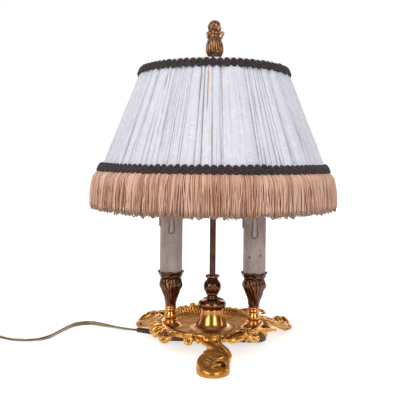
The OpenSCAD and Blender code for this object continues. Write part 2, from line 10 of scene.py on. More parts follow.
import bmesh
import bpy
import numpy as np
from mathutils import Matrix, Vector


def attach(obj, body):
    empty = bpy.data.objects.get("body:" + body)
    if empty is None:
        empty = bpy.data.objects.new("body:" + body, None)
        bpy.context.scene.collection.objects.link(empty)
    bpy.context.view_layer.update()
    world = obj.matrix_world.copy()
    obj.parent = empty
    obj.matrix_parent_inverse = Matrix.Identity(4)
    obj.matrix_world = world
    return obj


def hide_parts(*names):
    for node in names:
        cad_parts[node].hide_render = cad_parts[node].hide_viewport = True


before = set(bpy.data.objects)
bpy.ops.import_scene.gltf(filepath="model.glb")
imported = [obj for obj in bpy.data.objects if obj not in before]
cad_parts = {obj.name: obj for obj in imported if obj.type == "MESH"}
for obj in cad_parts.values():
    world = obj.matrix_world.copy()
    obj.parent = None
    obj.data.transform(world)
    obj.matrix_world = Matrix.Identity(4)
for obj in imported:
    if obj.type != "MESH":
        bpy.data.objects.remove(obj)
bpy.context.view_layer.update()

log = logging.getLogger("bouillotte_lamp")

MM = 0.001
Array = np.ndarray
Socket = bpy.types.NodeSocket
Node = bpy.types.Node
Object = bpy.types.Object
Mesh = bpy.types.Mesh
Material = bpy.types.Material
BMesh = bmesh.types.BMesh
Pair = tuple[float, float]
Point = tuple[float, float, float]
Row = tuple[float, float, float, float]
Colour = Sequence[float]
Stroke = list[list[float]]
Shaper = Callable[[Array, Array], Array]


# Small maths


def smooth(low: float, high: float, value: Array | float) -> Array | float:
    """Ease from 0 at low to 1 at high.

    Args:
        low: where the result starts to leave 0.
        high: where it reaches 1; it may be less than low.
        value: what to ease.

    Returns:
        The eased share, from 0 to 1.
    """
    t = np.clip((value - low) / (high - low), 0.0, 1.0)
    return t * t * (3 - 2 * t)


def swell(value: Array | float, centre: float, width: float) -> Array | float:
    """A soft bump of height 1 at centre that fades over width."""
    return np.exp(-(((value - centre) / width) ** 2))


def fair(points: Sequence[Pair], corners: Sequence[int] = (), step: float = 0.8) -> list[Pair]:
    """Run a smooth curve through profile points.

    Args:
        points: radius and height of each, in millimetres.
        corners: indexes of the points that stay corners.
        step: distance between the curve's points.

    Returns:
        The points of the curve.
    """
    p = [np.array(q, float) for q in points]
    sharp = set(corners) | {0, len(p) - 1}
    out: list[Pair] = []
    for i in range(len(p) - 1):
        a, b = p[i], p[i + 1]
        before = 2 * a - b if i in sharp else p[i - 1]
        after = 2 * b - a if i + 1 in sharp else p[i + 2]
        count = max(1, round(float(np.linalg.norm(b - a)) / step))
        for k in range(count):
            t = k / count
            q = 0.5 * (2 * a + (b - before) * t + (2 * before - 5 * a + 4 * b - after) * t * t
                       + (3 * a - before - 3 * b + after) * t ** 3)
            out.append((max(float(q[0]), 0.0), float(q[1])))
    out.append((float(p[-1][0]), float(p[-1][1])))
    return out


def flow(points: Sequence[Sequence[float]], count: int) -> list[list[float]]:
    """Resample a space curve smoothly.

    Args:
        points: three or more values each, such as x, y, z and radius.
        count: how many points to make.

    Returns:
        Points along one smooth curve through them.
    """
    p = np.array(points, float)
    p = np.vstack([2 * p[0] - p[1], p, 2 * p[-1] - p[-2]])
    span = len(p) - 3
    out = []
    for t in np.linspace(0, span, count):
        i = min(int(t), span - 1)
        u = t - i
        a, b, c, d = p[i:i + 4]
        out.append(list(0.5 * (2 * b + (c - a) * u + (2 * a - 5 * b + 4 * c - d) * u * u
                + (3 * b - a - 3 * c + d) * u ** 3)))
    return out


@dataclass(frozen=True)
class Wobble:
    """A smooth seeded unevenness round an axis."""

    seed: int  # which unevenness
    low: int = 1  # fewest waves round the axis
    high: int = 9  # most waves round the axis

    def __call__(self, angle: Array | float) -> Array | float:
        """Unevenness from about -1 to 1 at an angle in radians."""
        rng = np.random.default_rng(self.seed)
        total = 0 * angle
        for k in range(self.low, self.high + 1):
            total = total + rng.normal() * np.sin(k * angle + rng.uniform(0, 2 * pi))
        return total / sqrt((self.high - self.low + 1) / 2) / 1.6


def polar(p: Array) -> tuple[Array, Array, Array]:
    """Radius, angle and height of points."""
    return np.hypot(p[:, 0], p[:, 1]), np.arctan2(p[:, 1], p[:, 0]), p[:, 2]


def turn_from(angle: Array, direction: float) -> Array:
    """The turn from a direction to an angle, from -pi to pi."""
    return (angle - direction + pi) % (2 * pi) - pi


# Meshes


def turned(profile: Sequence[Pair], steps: int, closed: bool = True) -> BMesh:
    """Spin a profile round the Z axis.

    Args:
        profile: radius and height points in millimetres.
        steps: steps of the full turn.
        closed: whether the profile is a closed loop.

    Returns:
        The turned mesh, its faces outwards.
    """
    bm = bmesh.new()
    verts = [bm.verts.new((r * MM, 0, z * MM)) for r, z in profile]
    edges = [bm.edges.new(pair) for pair in zip(verts, verts[1:])]
    if closed:
        edges.append(bm.edges.new((verts[-1], verts[0])))
    bmesh.ops.spin(bm, geom=verts + edges, cent=(0, 0, 0), axis=(0, 0, 1), dvec=(0, 0, 0),
            angle=2 * pi, steps=steps, use_merge=True, use_duplicate=False)
    bmesh.ops.remove_doubles(bm, verts=bm.verts, dist=2e-6)
    bmesh.ops.recalc_face_normals(bm, faces=bm.faces)
    return bm


def prism(outline: Sequence[Pair], low: float, high: float) -> BMesh:
    """Stand a flat outline up between two heights, in millimetres.

    Args:
        outline: its corners in order.
        low: height of the underside.
        high: height of the top.

    Returns:
        The closed mesh.
    """
    bm = bmesh.new()
    face = bm.faces.new([bm.verts.new((x * MM, y * MM, low * MM)) for x, y in outline])
    top = bmesh.ops.extrude_face_region(bm, geom=[face])["geom"]
    lifted = [g for g in top if isinstance(g, bmesh.types.BMVert)]
    bmesh.ops.translate(bm, verts=lifted, vec=(0, 0, (high - low) * MM))
    bmesh.ops.recalc_face_normals(bm, faces=bm.faces)
    return bm


def shifted(bm: BMesh, x: float, y: float = 0.0) -> BMesh:
    """Move a mesh sideways, in millimetres."""
    bmesh.ops.translate(bm, verts=bm.verts, vec=(x * MM, y * MM, 0))
    return bm


def bevel(bm: BMesh, edges: Sequence[bmesh.types.BMEdge], offset: float, segments: int,
          clamp: bool = False) -> None:
    """Round edges off.

    Args:
        bm: the mesh.
        edges: its edges to round.
        offset: how far the rounding reaches, in millimetres.
        segments: steps of the rounding.
        clamp: whether it stops where roundings meet.
    """
    bmesh.ops.bevel(bm, geom=edges, offset=offset * MM, offset_type="OFFSET", affect="EDGES",
            segments=segments, profile=0.5, material=-1, clamp_overlap=clamp)


def new_object(name: str, data: bpy.types.ID) -> Object:
    """Add an object to the scene."""
    obj = bpy.data.objects.new(name, data)
    bpy.context.collection.objects.link(obj)
    return obj


def baked(obj: Object) -> Mesh:
    """The object's mesh with its modifiers or bevel applied; the object is removed."""
    graph = bpy.context.evaluated_depsgraph_get()
    mesh = bpy.data.meshes.new_from_object(obj.evaluated_get(graph))
    bpy.data.objects.remove(obj)
    return mesh


def strands(lines: Sequence[Sequence[Sequence[float]]], sides: int = 2,
            ring: bool = False) -> Mesh:
    """Round threads or scrolls of changing thickness.

    Args:
        lines: for each thread its points x, y, z and radius, in millimetres.
        sides: bevel resolution of the section.
        ring: whether each thread closes on itself.

    Returns:
        One mesh with all the threads.
    """
    curve = bpy.data.curves.new("strands", "CURVE")
    curve.dimensions = "3D"
    curve.bevel_depth = MM
    curve.bevel_resolution = sides
    curve.use_fill_caps = not ring
    for line in lines:
        spline = curve.splines.new("POLY")
        spline.points.add(len(line) - 1)
        spline.points.foreach_set("co", [v for x, y, z, _ in line for v in (x * MM, y * MM, z * MM, 1)])
        spline.points.foreach_set("radius", [r for *_, r in line])
        spline.use_cyclic_u = ring
    mesh = baked(new_object("strands", curve))
    bpy.data.curves.remove(curve)
    return mesh


def yarns(bundles: Sequence[tuple[Sequence[Sequence[Sequence[float]]], float]],
          ring: bool = False) -> Mesh:
    """Bundles of threads as one mesh, each in its own shade.

    Args:
        bundles: the threads of each bundle and its shade, which is stored as an attribute.
        ring: whether each thread closes on itself.

    Returns:
        The mesh.
    """
    bm = bmesh.new()
    layer = bm.verts.layers.float.new("shade")
    for lines, shade in bundles:
        mesh = strands(lines, 1, ring)
        first = len(bm.verts)
        bm.from_mesh(mesh)
        bpy.data.meshes.remove(mesh)
        bm.verts.ensure_lookup_table()
        for v in bm.verts[first:]:
            v[layer] = shade
    return to_mesh(bm)


def joined(parts: Sequence[BMesh | Mesh]) -> BMesh:
    """Put several meshes into one.

    Args:
        parts: the meshes.

    Returns:
        The one mesh.
    """
    whole = bmesh.new()
    for part in parts:
        if isinstance(part, BMesh):
            mesh = bpy.data.meshes.new("part")
            part.to_mesh(mesh)
            part.free()
        else:
            mesh = part
        whole.from_mesh(mesh)
        bpy.data.meshes.remove(mesh)
    return whole


def fused(bm: BMesh, voxel: float, ease: int) -> Mesh:
    """Melt overlapping forms into one skin, as a casting has.

    Args:
        bm: closed forms that overlap; it is freed.
        voxel: size of the skin's faces in millimetres.
        ease: rounds of smoothing.

    Returns:
        The skin.
    """
    mesh = bpy.data.meshes.new("rough")
    bm.to_mesh(mesh)
    bm.free()
    obj = new_object("rough", mesh)
    melt = obj.modifiers.new("melt", "REMESH")
    melt.mode = "VOXEL"
    melt.voxel_size = voxel * MM
    soften = obj.modifiers.new("soften", "SMOOTH")
    soften.factor = 0.5
    soften.iterations = ease
    skin = baked(obj)
    bpy.data.meshes.remove(mesh)
    return skin


def to_mesh(bm: BMesh) -> Mesh:
    """Turn a bmesh into a mesh and free it."""
    mesh = bpy.data.meshes.new("piece")
    bm.to_mesh(mesh)
    bm.free()
    return mesh


def read(items: bpy.types.bpy_prop_collection, key: str, width: int, kind: type = np.float32) -> Array:
    """Read one property of all items of a mesh.

    Args:
        items: the mesh's points, edges, corners or attribute values.
        key: the property's name.
        width: how many numbers each item has.
        kind: type of the numbers.

    Returns:
        A row for each item, or a plain array where the width is 1.
    """
    values = np.empty(len(items) * width, kind)
    items.foreach_get(key, values)
    return values.reshape(-1, width) if width > 1 else values


def chased(mesh: Mesh, shaper: Shaper) -> Mesh:
    """Move a mesh's points by a rule.

    Args:
        mesh: the mesh to work on.
        shaper: makes new points of the points, in millimetres, and their normals.

    Returns:
        The same mesh.
    """
    points = read(mesh.vertices, "co", 3).astype(float) / MM
    moved = shaper(points, read(mesh.vertex_normals, "vector", 3).astype(float))
    mesh.vertices.foreach_set("co", (moved * MM).astype(np.float32).ravel())
    mesh.update()
    return mesh


def store(mesh: Mesh, name: str, values: Array) -> None:
    """Keep a number for each point under an attribute name."""
    layer = mesh.attributes.get(name) or mesh.attributes.new(name, "FLOAT", "POINT")
    layer.data.foreach_set("value", values.astype(np.float32))


def find_relief(mesh: Mesh, rounds: int) -> None:
    """Store how far each point stands out of the evened surface, in millimetres.

    Args:
        mesh: the mesh, which gets the attribute "relief".
        rounds: how widely the surface is evened for the comparison.
    """
    points = read(mesh.vertices, "co", 3).astype(float)
    normals = read(mesh.vertex_normals, "vector", 3)
    edges = read(mesh.edges, "vertices", 2, np.int32)
    count = len(points)
    ends, others = edges.T.ravel(), edges[:, ::-1].T.ravel()
    share = 1 / np.maximum(np.bincount(ends, minlength=count), 1)
    even = points.copy()
    for _ in range(rounds):
        mean = np.stack([np.bincount(ends, even[others, k], count) * share for k in range(3)], 1)
        even += 0.6 * (mean - even)
    store(mesh, "relief", ((points - even) * normals).sum(1) / MM)


# Node graphs


def tone(red: int, green: int, blue: int) -> Row:
    """A colour written in screen values from 0 to 255, as the linear values nodes take."""
    channels = (c / 255 for c in (red, green, blue))
    linear = [c / 12.92 if c <= 0.04045 else ((c + 0.055) / 1.055) ** 2.4 for c in channels]
    return (*linear, 1.0)


class Graph:
    """Short ways to add and link the nodes of one tree."""

    def __init__(self, tree: bpy.types.NodeTree) -> None:
        """Work on a node tree."""
        self.tree = tree

    def feed(self, socket: Socket, value: object) -> None:
        """Link a socket to another one, or write its own value."""
        if isinstance(value, Socket):
            self.tree.links.new(value, socket)
        else:
            socket.default_value = value

    def fill(self, node: Node, inputs: dict[str | int, object]) -> None:
        """Link or write several inputs of a node."""
        for key, value in inputs.items():
            self.feed(node.inputs[key], value)

    def add(self, kind: str, inputs: dict[str | int, object], **settings: object) -> Node:
        """Add a node.

        Args:
            kind: the node's type without its ShaderNode prefix.
            inputs: a value or a socket for each input, by name or number.
            **settings: the node's own properties.

        Returns:
            The node.
        """
        node = self.tree.nodes.new("ShaderNode" + kind)
        for key, value in settings.items():
            setattr(node, key, value)
        self.fill(node, inputs)
        return node

    def place(self) -> Socket:
        """The point on the object, in metres."""
        return self.add("TexCoord", {}).outputs["Object"]

    def stretched(self, scale: Point) -> Socket:
        """The point on the object, scaled differently along each axis."""
        return self.add("Mapping", {"Vector": self.place(), "Scale": scale}).outputs["Vector"]

    def attribute(self, name: str) -> Socket:
        """A number stored on the mesh."""
        return self.add("Attribute", {}, attribute_name=name).outputs["Fac"]

    def noise(self, vector: object, scale: object, detail: float = 3.0,
              rough: float = 0.55) -> Socket:
        """Cloudy noise from 0 to 1."""
        return self.add("TexNoise", {"Vector": vector, "Scale": scale, "Detail": detail,
                "Roughness": rough}).outputs["Fac"]

    def span(self, value: object, low: float, high: float, first: float = 0.0,
             last: float = 1.0) -> Socket:
        """Ease a value from one range to another."""
        return self.add("MapRange", {"Value": value, "From Min": low, "From Max": high,
                "To Min": first, "To Max": last},
                interpolation_type="SMOOTHSTEP").outputs["Result"]

    def math(self, operation: str, *values: object) -> Socket:
        """Arithmetic on up to three values."""
        return self.add("Math", dict(enumerate(values)), operation=operation).outputs[0]

    def vary(self, base: object, source: object, amount: float) -> Socket:
        """A value made uneven by a noise, up and down by half the amount."""
        return self.math("ADD", base, self.math("MULTIPLY", self.math("SUBTRACT", source, 0.5), amount))

    def mix(self, share: object, first: object, second: object,
            blend: str = "MIX") -> Socket:
        """Blend two colours by a share."""
        return self.add("Mix", {0: share, 6: first, 7: second}, data_type="RGBA",
                blend_type=blend).outputs[2]

    def bump(self, height: object, depth: object, strength: float = 1.0) -> Socket:
        """The normal of a surface raised by a height of that depth in metres."""
        return self.add("Bump", {"Height": height, "Distance": depth,
                "Strength": strength}).outputs["Normal"]


class Effect:
    """A shader node group with named inputs and outputs, which several finishes share."""

    KINDS = {"Colour": "NodeSocketColor", "Roughness": "NodeSocketFloat", "Normal": "NodeSocketVector"}

    def __init__(self, name: str, colours: Sequence[str], values: Sequence[str]) -> None:
        """Make the group and its inputs.

        Args:
            name: the group's name.
            colours: names of the inputs that are colours.
            values: names of the inputs that are numbers.
        """
        self.tree = bpy.data.node_groups.new(name, "ShaderNodeTree")
        for keys, kind in ((colours, "Colour"), (values, "Roughness")):
            for key in keys:
                self.tree.interface.new_socket(key, in_out="INPUT", socket_type=self.KINDS[kind])
        self.graph = Graph(self.tree)
        self.given = self.tree.nodes.new("NodeGroupInput").outputs

    def close(self, **results: Socket) -> None:
        """Make the group's outputs, named for what they are, and link them."""
        for key in results:
            self.tree.interface.new_socket(key, in_out="OUTPUT", socket_type=self.KINDS[key])
        self.graph.fill(self.tree.nodes.new("NodeGroupOutput"), results)


@cache
def make_patina() -> Effect:
    """Aged metal: darker in its recesses, bright on worn edges, cloudy between; the stored relief also
    brings painted shade to the bell's skirt and painted light to the dish's back wall.
    """
    effect = Effect("patina", ("Metal", "Shade", "Recess", "Worn"), ("Roughness", "Grain", "Dirt", "Wear"))
    g, given = effect.graph, effect.given
    clouds = g.noise(g.place(), 70.0, 4.0)
    fine = g.noise(g.place(), 900.0, 3.0, 0.6)
    relief = g.attribute("relief")
    body = g.mix(g.span(clouds, 0.35, 0.68), given["Metal"], given["Shade"])
    uneven = g.math("MULTIPLY_ADD", clouds, 0.16, -0.08)
    deep = g.span(g.math("ADD", relief, uneven), -0.02, -0.34)
    deep = g.math("MINIMUM", g.math("MULTIPLY", deep, given["Dirt"]), 1.0)
    dark = g.mix(deep, body, given["Recess"])
    high = g.math("MULTIPLY", g.span(g.math("ADD", relief, uneven), 0.1, 0.42), given["Wear"])
    colour = g.mix(g.math("MINIMUM", high, 1.0), dark, given["Worn"])
    rough = g.math("MULTIPLY_ADD", fine, 0.16, g.math("SUBTRACT", given["Roughness"], 0.08))
    rough = g.math("ADD", rough, g.math("MULTIPLY", deep, 0.2))
    depth = g.math("MULTIPLY", given["Grain"], 0.0002)
    effect.close(Colour=colour, Roughness=rough, Normal=g.bump(fine, depth))
    return effect


@cache
def make_lathe_marks() -> Effect:
    """Fine rings left round a turned part, and a little cloudiness in its colour."""
    effect = Effect("lathe_marks", ("Metal", "Shade"), ("Roughness", "Depth"))
    g, given = effect.graph, effect.given
    rings = g.noise(g.stretched((18.0, 18.0, 2600.0)), 1.0, 2.0)
    clouds = g.noise(g.place(), 120.0, 3.0)
    colour = g.mix(g.span(clouds, 0.3, 0.7), given["Metal"], given["Shade"])
    rough = g.vary(given["Roughness"], rings, 0.2)
    normal = g.bump(rings, g.math("MULTIPLY", given["Depth"], 0.0001))
    effect.close(Colour=colour, Roughness=rough, Normal=normal)
    return effect


@cache
def make_moulded() -> Effect:
    """Moulded plastic, rubber or resin: a fine pebble and slight clouding."""
    effect = Effect("moulded", ("Base", "Shade"), ("Roughness", "Pebble"))
    g, given = effect.graph, effect.given
    clouds = g.noise(g.place(), 160.0, 3.0)
    pebble = g.noise(g.place(), 2600.0, 2.0)
    colour = g.mix(g.span(clouds, 0.35, 0.7), given["Base"], given["Shade"])
    rough = g.math("ADD", given["Roughness"], g.math("MULTIPLY", clouds, 0.12))
    normal = g.bump(pebble, g.math("MULTIPLY", given["Pebble"], 0.0001))
    effect.close(Colour=colour, Roughness=rough, Normal=normal)
    return effect


@cache
def make_yarn() -> Effect:
    """Twisted thread: each strand its own shade, with fine fibres along it."""
    effect = Effect("yarn", ("Light", "Dark", "Tip"), ("Fuzz",))
    g, given = effect.graph, effect.given
    fibres = g.noise(g.stretched((1.0, 1.0, 0.35)), 2400.0, 2.0, 0.6)
    clouds = g.noise(g.place(), 55.0, 3.0)
    share = g.vary(g.vary(g.attribute("shade"), clouds, 0.9), fibres, 0.5)
    colour = g.mix(g.span(share, 0.0, 1.0), given["Light"], given["Dark"])
    colour = g.mix(g.math("MULTIPLY", g.attribute("tip"), g.span(fibres, 0.3, 0.6)), colour, given["Tip"])
    effect.close(Colour=colour, Normal=g.bump(fibres, g.math("MULTIPLY", given["Fuzz"], 0.0004)))
    return effect


@cache
def make_gathered_cloth() -> Effect:
    """Thin aged silk: darker in its folds with dust and painted shade, with brown streaks and crosswise
    creases.
    """
    effect = Effect("gathered_cloth", ("Crest", "Fold", "Streak"), ("Creases",))
    g, given = effect.graph, effect.given
    uv = g.add("UVMap", {}).outputs["UV"]
    drawn = g.add("Mapping", {"Vector": uv, "Scale": (1.0, 0.045, 1.0)}).outputs[0]
    slubs = g.noise(drawn, 1500.0, 3.0, 0.65)
    slanted = g.add("Mapping", {"Vector": uv, "Scale": (0.55, 1.0, 1.0), "Rotation": (0.0, 0.0, 0.35)})
    wrinkles = g.noise(slanted.outputs[0], 210.0, 4.0, 0.6)
    clouds = g.noise(uv, 26.0, 4.0, 0.6)
    weave = g.noise(uv, 5200.0, 1.0)
    # darker in the valleys and creases: dust and painted shade
    fold_dust_and_shade = g.vary(g.vary(g.attribute("fold"), clouds, 0.5), slubs, 0.7)
    colour = g.mix(g.span(fold_dust_and_shade, 0.0, 1.0), given["Crest"], given["Fold"])
    stain = g.math("MULTIPLY", g.attribute("stain"), g.span(clouds, 0.25, 0.5))
    colour = g.mix(stain, colour, given["Streak"])
    ridges = g.math("ABSOLUTE", g.math("SUBTRACT", wrinkles, 0.5))
    height = g.math("ADD", g.math("MULTIPLY", g.span(ridges, 0.09, 0.0), given["Creases"]),
            g.math("MULTIPLY", slubs, 0.35))
    height = g.math("ADD", height, g.math("MULTIPLY", weave, 0.05))
    effect.close(Colour=colour, Normal=g.bump(height, 0.0006))
    return effect


# Finishes


def principled(name: str) -> tuple[Material, Graph, Node]:
    """A new material with its graph and its shader."""
    material = bpy.data.materials.new(name)
    material.use_nodes = True
    return material, Graph(material.node_tree), material.node_tree.nodes["Principled BSDF"]


class Finish:
    """A finish whose fields are inputs of its effect or, where that lacks them, of the shader."""

    EFFECT: Callable[[], Effect]
    OWN: dict[str, object] = {}

    def make(self, name: str) -> Material:
        """Build the material.

        Args:
            name: the material's name.

        Returns:
            The material.
        """
        material, graph, shader = principled(name)
        group = graph.add("Group", {}, node_tree=type(self).EFFECT().tree)
        graph.fill(shader, self.OWN)
        for field, value in vars(self).items():
            key = field.replace("_", " ").title()
            graph.feed((group if key in group.inputs else shader).inputs[key], value)
        for source, target in (("Colour", "Base Color"), ("Roughness", "Roughness"), ("Normal", "Normal")):
            if source in group.outputs:
                graph.feed(shader.inputs[target], group.outputs[source])
        return material


@dataclass(frozen=True)
class CastMetal(Finish):
    """Gilt or bronzed casting."""

    metal: Colour  # main colour
    shade: Colour  # second colour, in clouds
    recess: Colour  # colour of the dirt in recesses, also painted shade on the bell's skirt
    worn: Colour  # colour of rubbed edges, also painted light on the dish's back inner wall
    roughness: float = 0.3
    grain: float = 0.5  # strength of the casting's fine grain
    dirt: float = 1.0  # amount of dirt in the recesses, which also scales the painted shade on the bell's skirt
    wear: float = 1.0  # amount of rubbing on the edges

    EFFECT = make_patina
    OWN = {"Metallic": 1.0}


@dataclass(frozen=True)
class GiltDish:
    """The dish casting: gilt, with a dull tan floor."""

    cast: CastMetal  # finish of the rim
    floor: Colour  # colour of the dull floor

    def make(self, name: str) -> Material:
        """Build the material.

        Args:
            name: the material's name.

        Returns:
            The material.
        """
        material = self.cast.make(name)
        graph = Graph(material.node_tree)
        shader = material.node_tree.nodes["Principled BSDF"]
        colour = shader.inputs["Base Color"].links[0].from_socket
        rough = shader.inputs["Roughness"].links[0].from_socket
        dull = graph.attribute("dull")
        stains = graph.noise(graph.place(), 90.0, 5.0, 0.65)
        dust = graph.mix(graph.span(stains, 0.35, 0.66), self.floor, self.cast.shade)
        graph.fill(shader, {"Base Color": graph.mix(graph.math("MULTIPLY", dull, 0.85), colour, dust),
                "Roughness": graph.math("ADD", rough, graph.math("MULTIPLY", dull, 0.22))})
        return material


@dataclass(frozen=True)
class TurnedMetal(Finish):
    """Metal turned or drawn, with fine marks."""

    metal: Colour  # main colour
    shade: Colour  # second colour
    roughness: float = 0.3
    depth: float = 0.5  # depth of the marks

    EFFECT = make_lathe_marks
    OWN = {"Metallic": 1.0}


@dataclass(frozen=True)
class Moulding(Finish):
    """Moulded plastic, resin or rubber."""

    base: Colour  # main colour
    shade: Colour  # second colour
    roughness: float = 0.4
    pebble: float = 0.5  # strength of the surface's pebble
    coat_weight: float = 0.0  # clear gloss over it

    EFFECT = make_moulded


@dataclass(frozen=True)
class Yarn(Finish):
    """Thread of a fringe or a braid."""

    light: Colour  # lighter strands
    dark: Colour  # darker strands
    tip: Colour  # colour of soiled ends
    sheen_weight: float = 0.3  # soft sheen
    roughness: float = 0.7
    fuzz: float = 0.6  # strength of its fibres

    EFFECT = make_yarn


@dataclass(frozen=True)
class Silk(Finish):
    """Gathered silk."""

    crest: Colour  # colour of the crests
    fold: Colour  # colour in the folds: dust and painted shade
    streak: Colour  # colour of the brown streaks
    creases: float = 0.6  # strength of the crosswise creases

    EFFECT = make_gathered_cloth
    OWN = {"Roughness": 0.55, "Sheen Weight": 0.15, "Specular IOR Level": 0.35}


@dataclass(frozen=True)
class AgedWax:
    """Candle sleeve card, greyed with age, with brown outlines round its drips."""

    base: Colour  # main colour
    shade: Colour  # second colour
    stain: Colour  # colour of the brown stains
    drip: Colour  # colour of the drips

    def make(self, name: str) -> Material:
        """Build the material.

        Args:
            name: the material's name.

        Returns:
            The material.
        """
        material, graph, shader = principled(name)
        clouds = graph.noise(graph.stretched((1.0, 1.0, 0.5)), 80.0, 5.0, 0.6)
        specks = graph.noise(graph.place(), 420.0, 3.0, 0.5)
        colour = graph.mix(graph.span(clouds, 0.32, 0.68), self.base, self.shade)
        colour = graph.mix(graph.attribute("drip"), colour, self.drip)
        flecks = graph.math("MULTIPLY", graph.span(specks, 0.68, 0.76), graph.span(clouds, 0.45, 0.6))
        stained = graph.math("MAXIMUM", graph.attribute("stain"), graph.math("MULTIPLY", flecks, 0.6))
        graph.fill(shader, {"Base Color": graph.mix(stained, colour, self.stain),
                "Roughness": graph.span(clouds, 0.3, 0.7, 0.42, 0.6),
                "Normal": graph.bump(clouds, 0.0005), "Subsurface Weight": 0.05,
                "Subsurface Radius": (0.004, 0.002, 0.001)})
        return material


@dataclass(frozen=True)
class TwinCord:
    """Clear flat cord whose two bright cores show through."""

    jacket: Colour  # colour of the clear jacket over a dark gap
    core: Colour  # colour of the cores
    edge: Colour  # colour of the jacket's edges

    def make(self, name: str) -> Material:
        """Build the material.

        Args:
            name: the material's name.

        Returns:
            The material.
        """
        material, graph, shader = principled(name)
        across = graph.attribute("across")
        along = graph.attribute("along")
        lay = graph.math("SINE", graph.math("ADD", graph.math("MULTIPLY", along, 2.1),
                graph.math("MULTIPLY", across, 7.0)))
        uneven = graph.noise(graph.place(), 60.0, 3.0)
        core = graph.mix(graph.span(lay, -1.0, 1.0), self.core, self.edge)
        core = graph.mix(graph.span(uneven, 0.4, 0.7), core, self.jacket)
        near = graph.math("ABSOLUTE", graph.math("SUBTRACT", graph.math("ABSOLUTE", across), 0.5))
        graph.fill(shader, {"Base Color": graph.mix(graph.span(near, 0.3, 0.12), self.jacket, core),
                "Roughness": graph.span(uneven, 0.3, 0.7, 0.16, 0.3), "Coat Weight": 0.6,
                "Coat Roughness": 0.08, "Transmission Weight": 0.15})
        return material


@dataclass(frozen=True)
class Glass:
    """Frosted bulb glass."""

    body: Colour  # its colour

    def make(self, name: str) -> Material:
        """Build the material.

        Args:
            name: the material's name.

        Returns:
            The material.
        """
        material, graph, shader = principled(name)
        haze = graph.noise(graph.place(), 40.0, 3.0)
        graph.fill(shader, {"Base Color": graph.mix(graph.span(haze, 0.3, 0.7), self.body,
                tone(240, 234, 220)),
                "Roughness": graph.span(haze, 0.3, 0.7, 0.18, 0.3),
                "Transmission Weight": 0.6, "IOR": 1.46})
        return material


class Slot(Enum):
    """The record's material slots and their finishes."""

    gilt_bronze = GiltDish(CastMetal(tone(202, 138, 62), tone(160, 102, 42), tone(62, 34, 15),
            tone(236, 182, 100), 0.27, 0.18, 0.95, 0.35), tone(226, 176, 110))
    polished_brass = CastMetal(tone(220, 160, 94), tone(196, 136, 74), tone(142, 94, 52),
            tone(240, 190, 118), 0.21, 0.1, 0.8, 0.4)
    dark_bronze = CastMetal(tone(118, 78, 56), tone(84, 54, 42), tone(28, 18, 15),
            tone(206, 152, 104), 0.22, 0.25, 1.1, 0.7)
    finial_bronze = CastMetal(tone(148, 106, 76), tone(114, 80, 58), tone(44, 28, 20),
            tone(222, 172, 122), 0.26, 0.3, 0.9, 0.8)
    aged_rod = TurnedMetal(tone(92, 64, 52), tone(68, 46, 39), 0.36, 0.3)
    cover_bronze = Moulding(tone(106, 84, 58), tone(84, 64, 43), 0.5, 0.4, 0.05)
    steel = TurnedMetal(tone(176, 176, 172), tone(140, 138, 132), 0.34, 0.5)
    frame_wire = TurnedMetal(tone(190, 184, 170), tone(150, 140, 124), 0.4, 0.3)
    contact_brass = TurnedMetal(tone(206, 166, 90), tone(176, 136, 70), 0.3, 0.4)
    bulb_metal = TurnedMetal(tone(196, 196, 192), tone(160, 160, 156), 0.3, 0.8)
    bulb_glass = Glass(tone(250, 246, 236))
    black_resin = Moulding(tone(40, 34, 30), tone(28, 24, 22), 0.35, 0.3, 0.3)
    candle_wax = AgedWax(tone(190, 171, 163), tone(162, 143, 138), tone(60, 34, 36), tone(196, 178, 176))
    wire_jacket = Moulding(tone(206, 196, 170), tone(184, 172, 146), 0.4, 0.3)
    pleated_cloth = Silk(tone(229, 229, 240), tone(134, 124, 120), tone(190, 150, 104))
    lining_cloth = Silk(tone(222, 216, 206), tone(190, 180, 168), tone(180, 156, 128), 0.3)
    brown_braid = Yarn(tone(56, 38, 40), tone(22, 13, 13), tone(46, 32, 30), 0.02, 0.65)
    peach_fringe = Yarn(tone(236, 196, 170), tone(186, 130, 100), tone(140, 104, 84), 0.16, 0.6)
    clear_cord = TwinCord(tone(104, 80, 52), tone(220, 192, 98), tone(156, 130, 62))
    black_rubber = Moulding(tone(34, 28, 28), tone(46, 38, 36), 0.55, 0.6)
    white_plastic = Moulding(tone(226, 222, 210), tone(214, 208, 192), 0.36, 0.3, 0.2)
    dark_plastic = Moulding(tone(58, 46, 38), tone(46, 36, 30), 0.35, 0.3, 0.2)
    pin_metal = TurnedMetal(tone(206, 200, 184), tone(180, 172, 150), 0.22, 0.3)

    def material(self) -> Material:
        """The slot's material, built once; the frame's own plain ones have the slots' names."""
        name = f"{self.name}_finish"
        return bpy.data.materials.get(name) or self.value.make(name)


class Body(Enum):
    """The bodies that pieces ride on."""

    lamp = "lamp"
    carrier = "carrier"
    shade = "shade"
    screw = "screw"
    rocker = "rocker"


def finish_piece(name: str, mesh: Mesh, slot: Slot, body: Body, *nodes: str) -> Object:
    """Make a finished piece of a mesh.

    Args:
        name: the piece's name.
        mesh: its mesh, in place.
        slot: the material slot it takes its finish from.
        body: the body it moves with.
        *nodes: the solids that it stands for.

    Returns:
        The piece.
    """
    obj = new_object(name, mesh)
    mesh.name = name
    mesh.shade_smooth()
    mesh.materials.clear()
    mesh.materials.append(slot.material())
    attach(obj, body.value)
    if nodes:
        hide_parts(*nodes)
    log.info("%s: %d faces", name, len(mesh.polygons))
    return obj


def dress(slot: Slot, *nodes: str) -> None:
    """Give solids that are shown as they are their finish.

    Args:
        slot: the slot whose finish they take.
        *nodes: the solids.
    """
    for node in nodes:
        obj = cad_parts[node]
        if not obj.material_slots:
            obj.data.materials.append(slot.material())
        for place in obj.material_slots:
            place.material = slot.material()


# Base


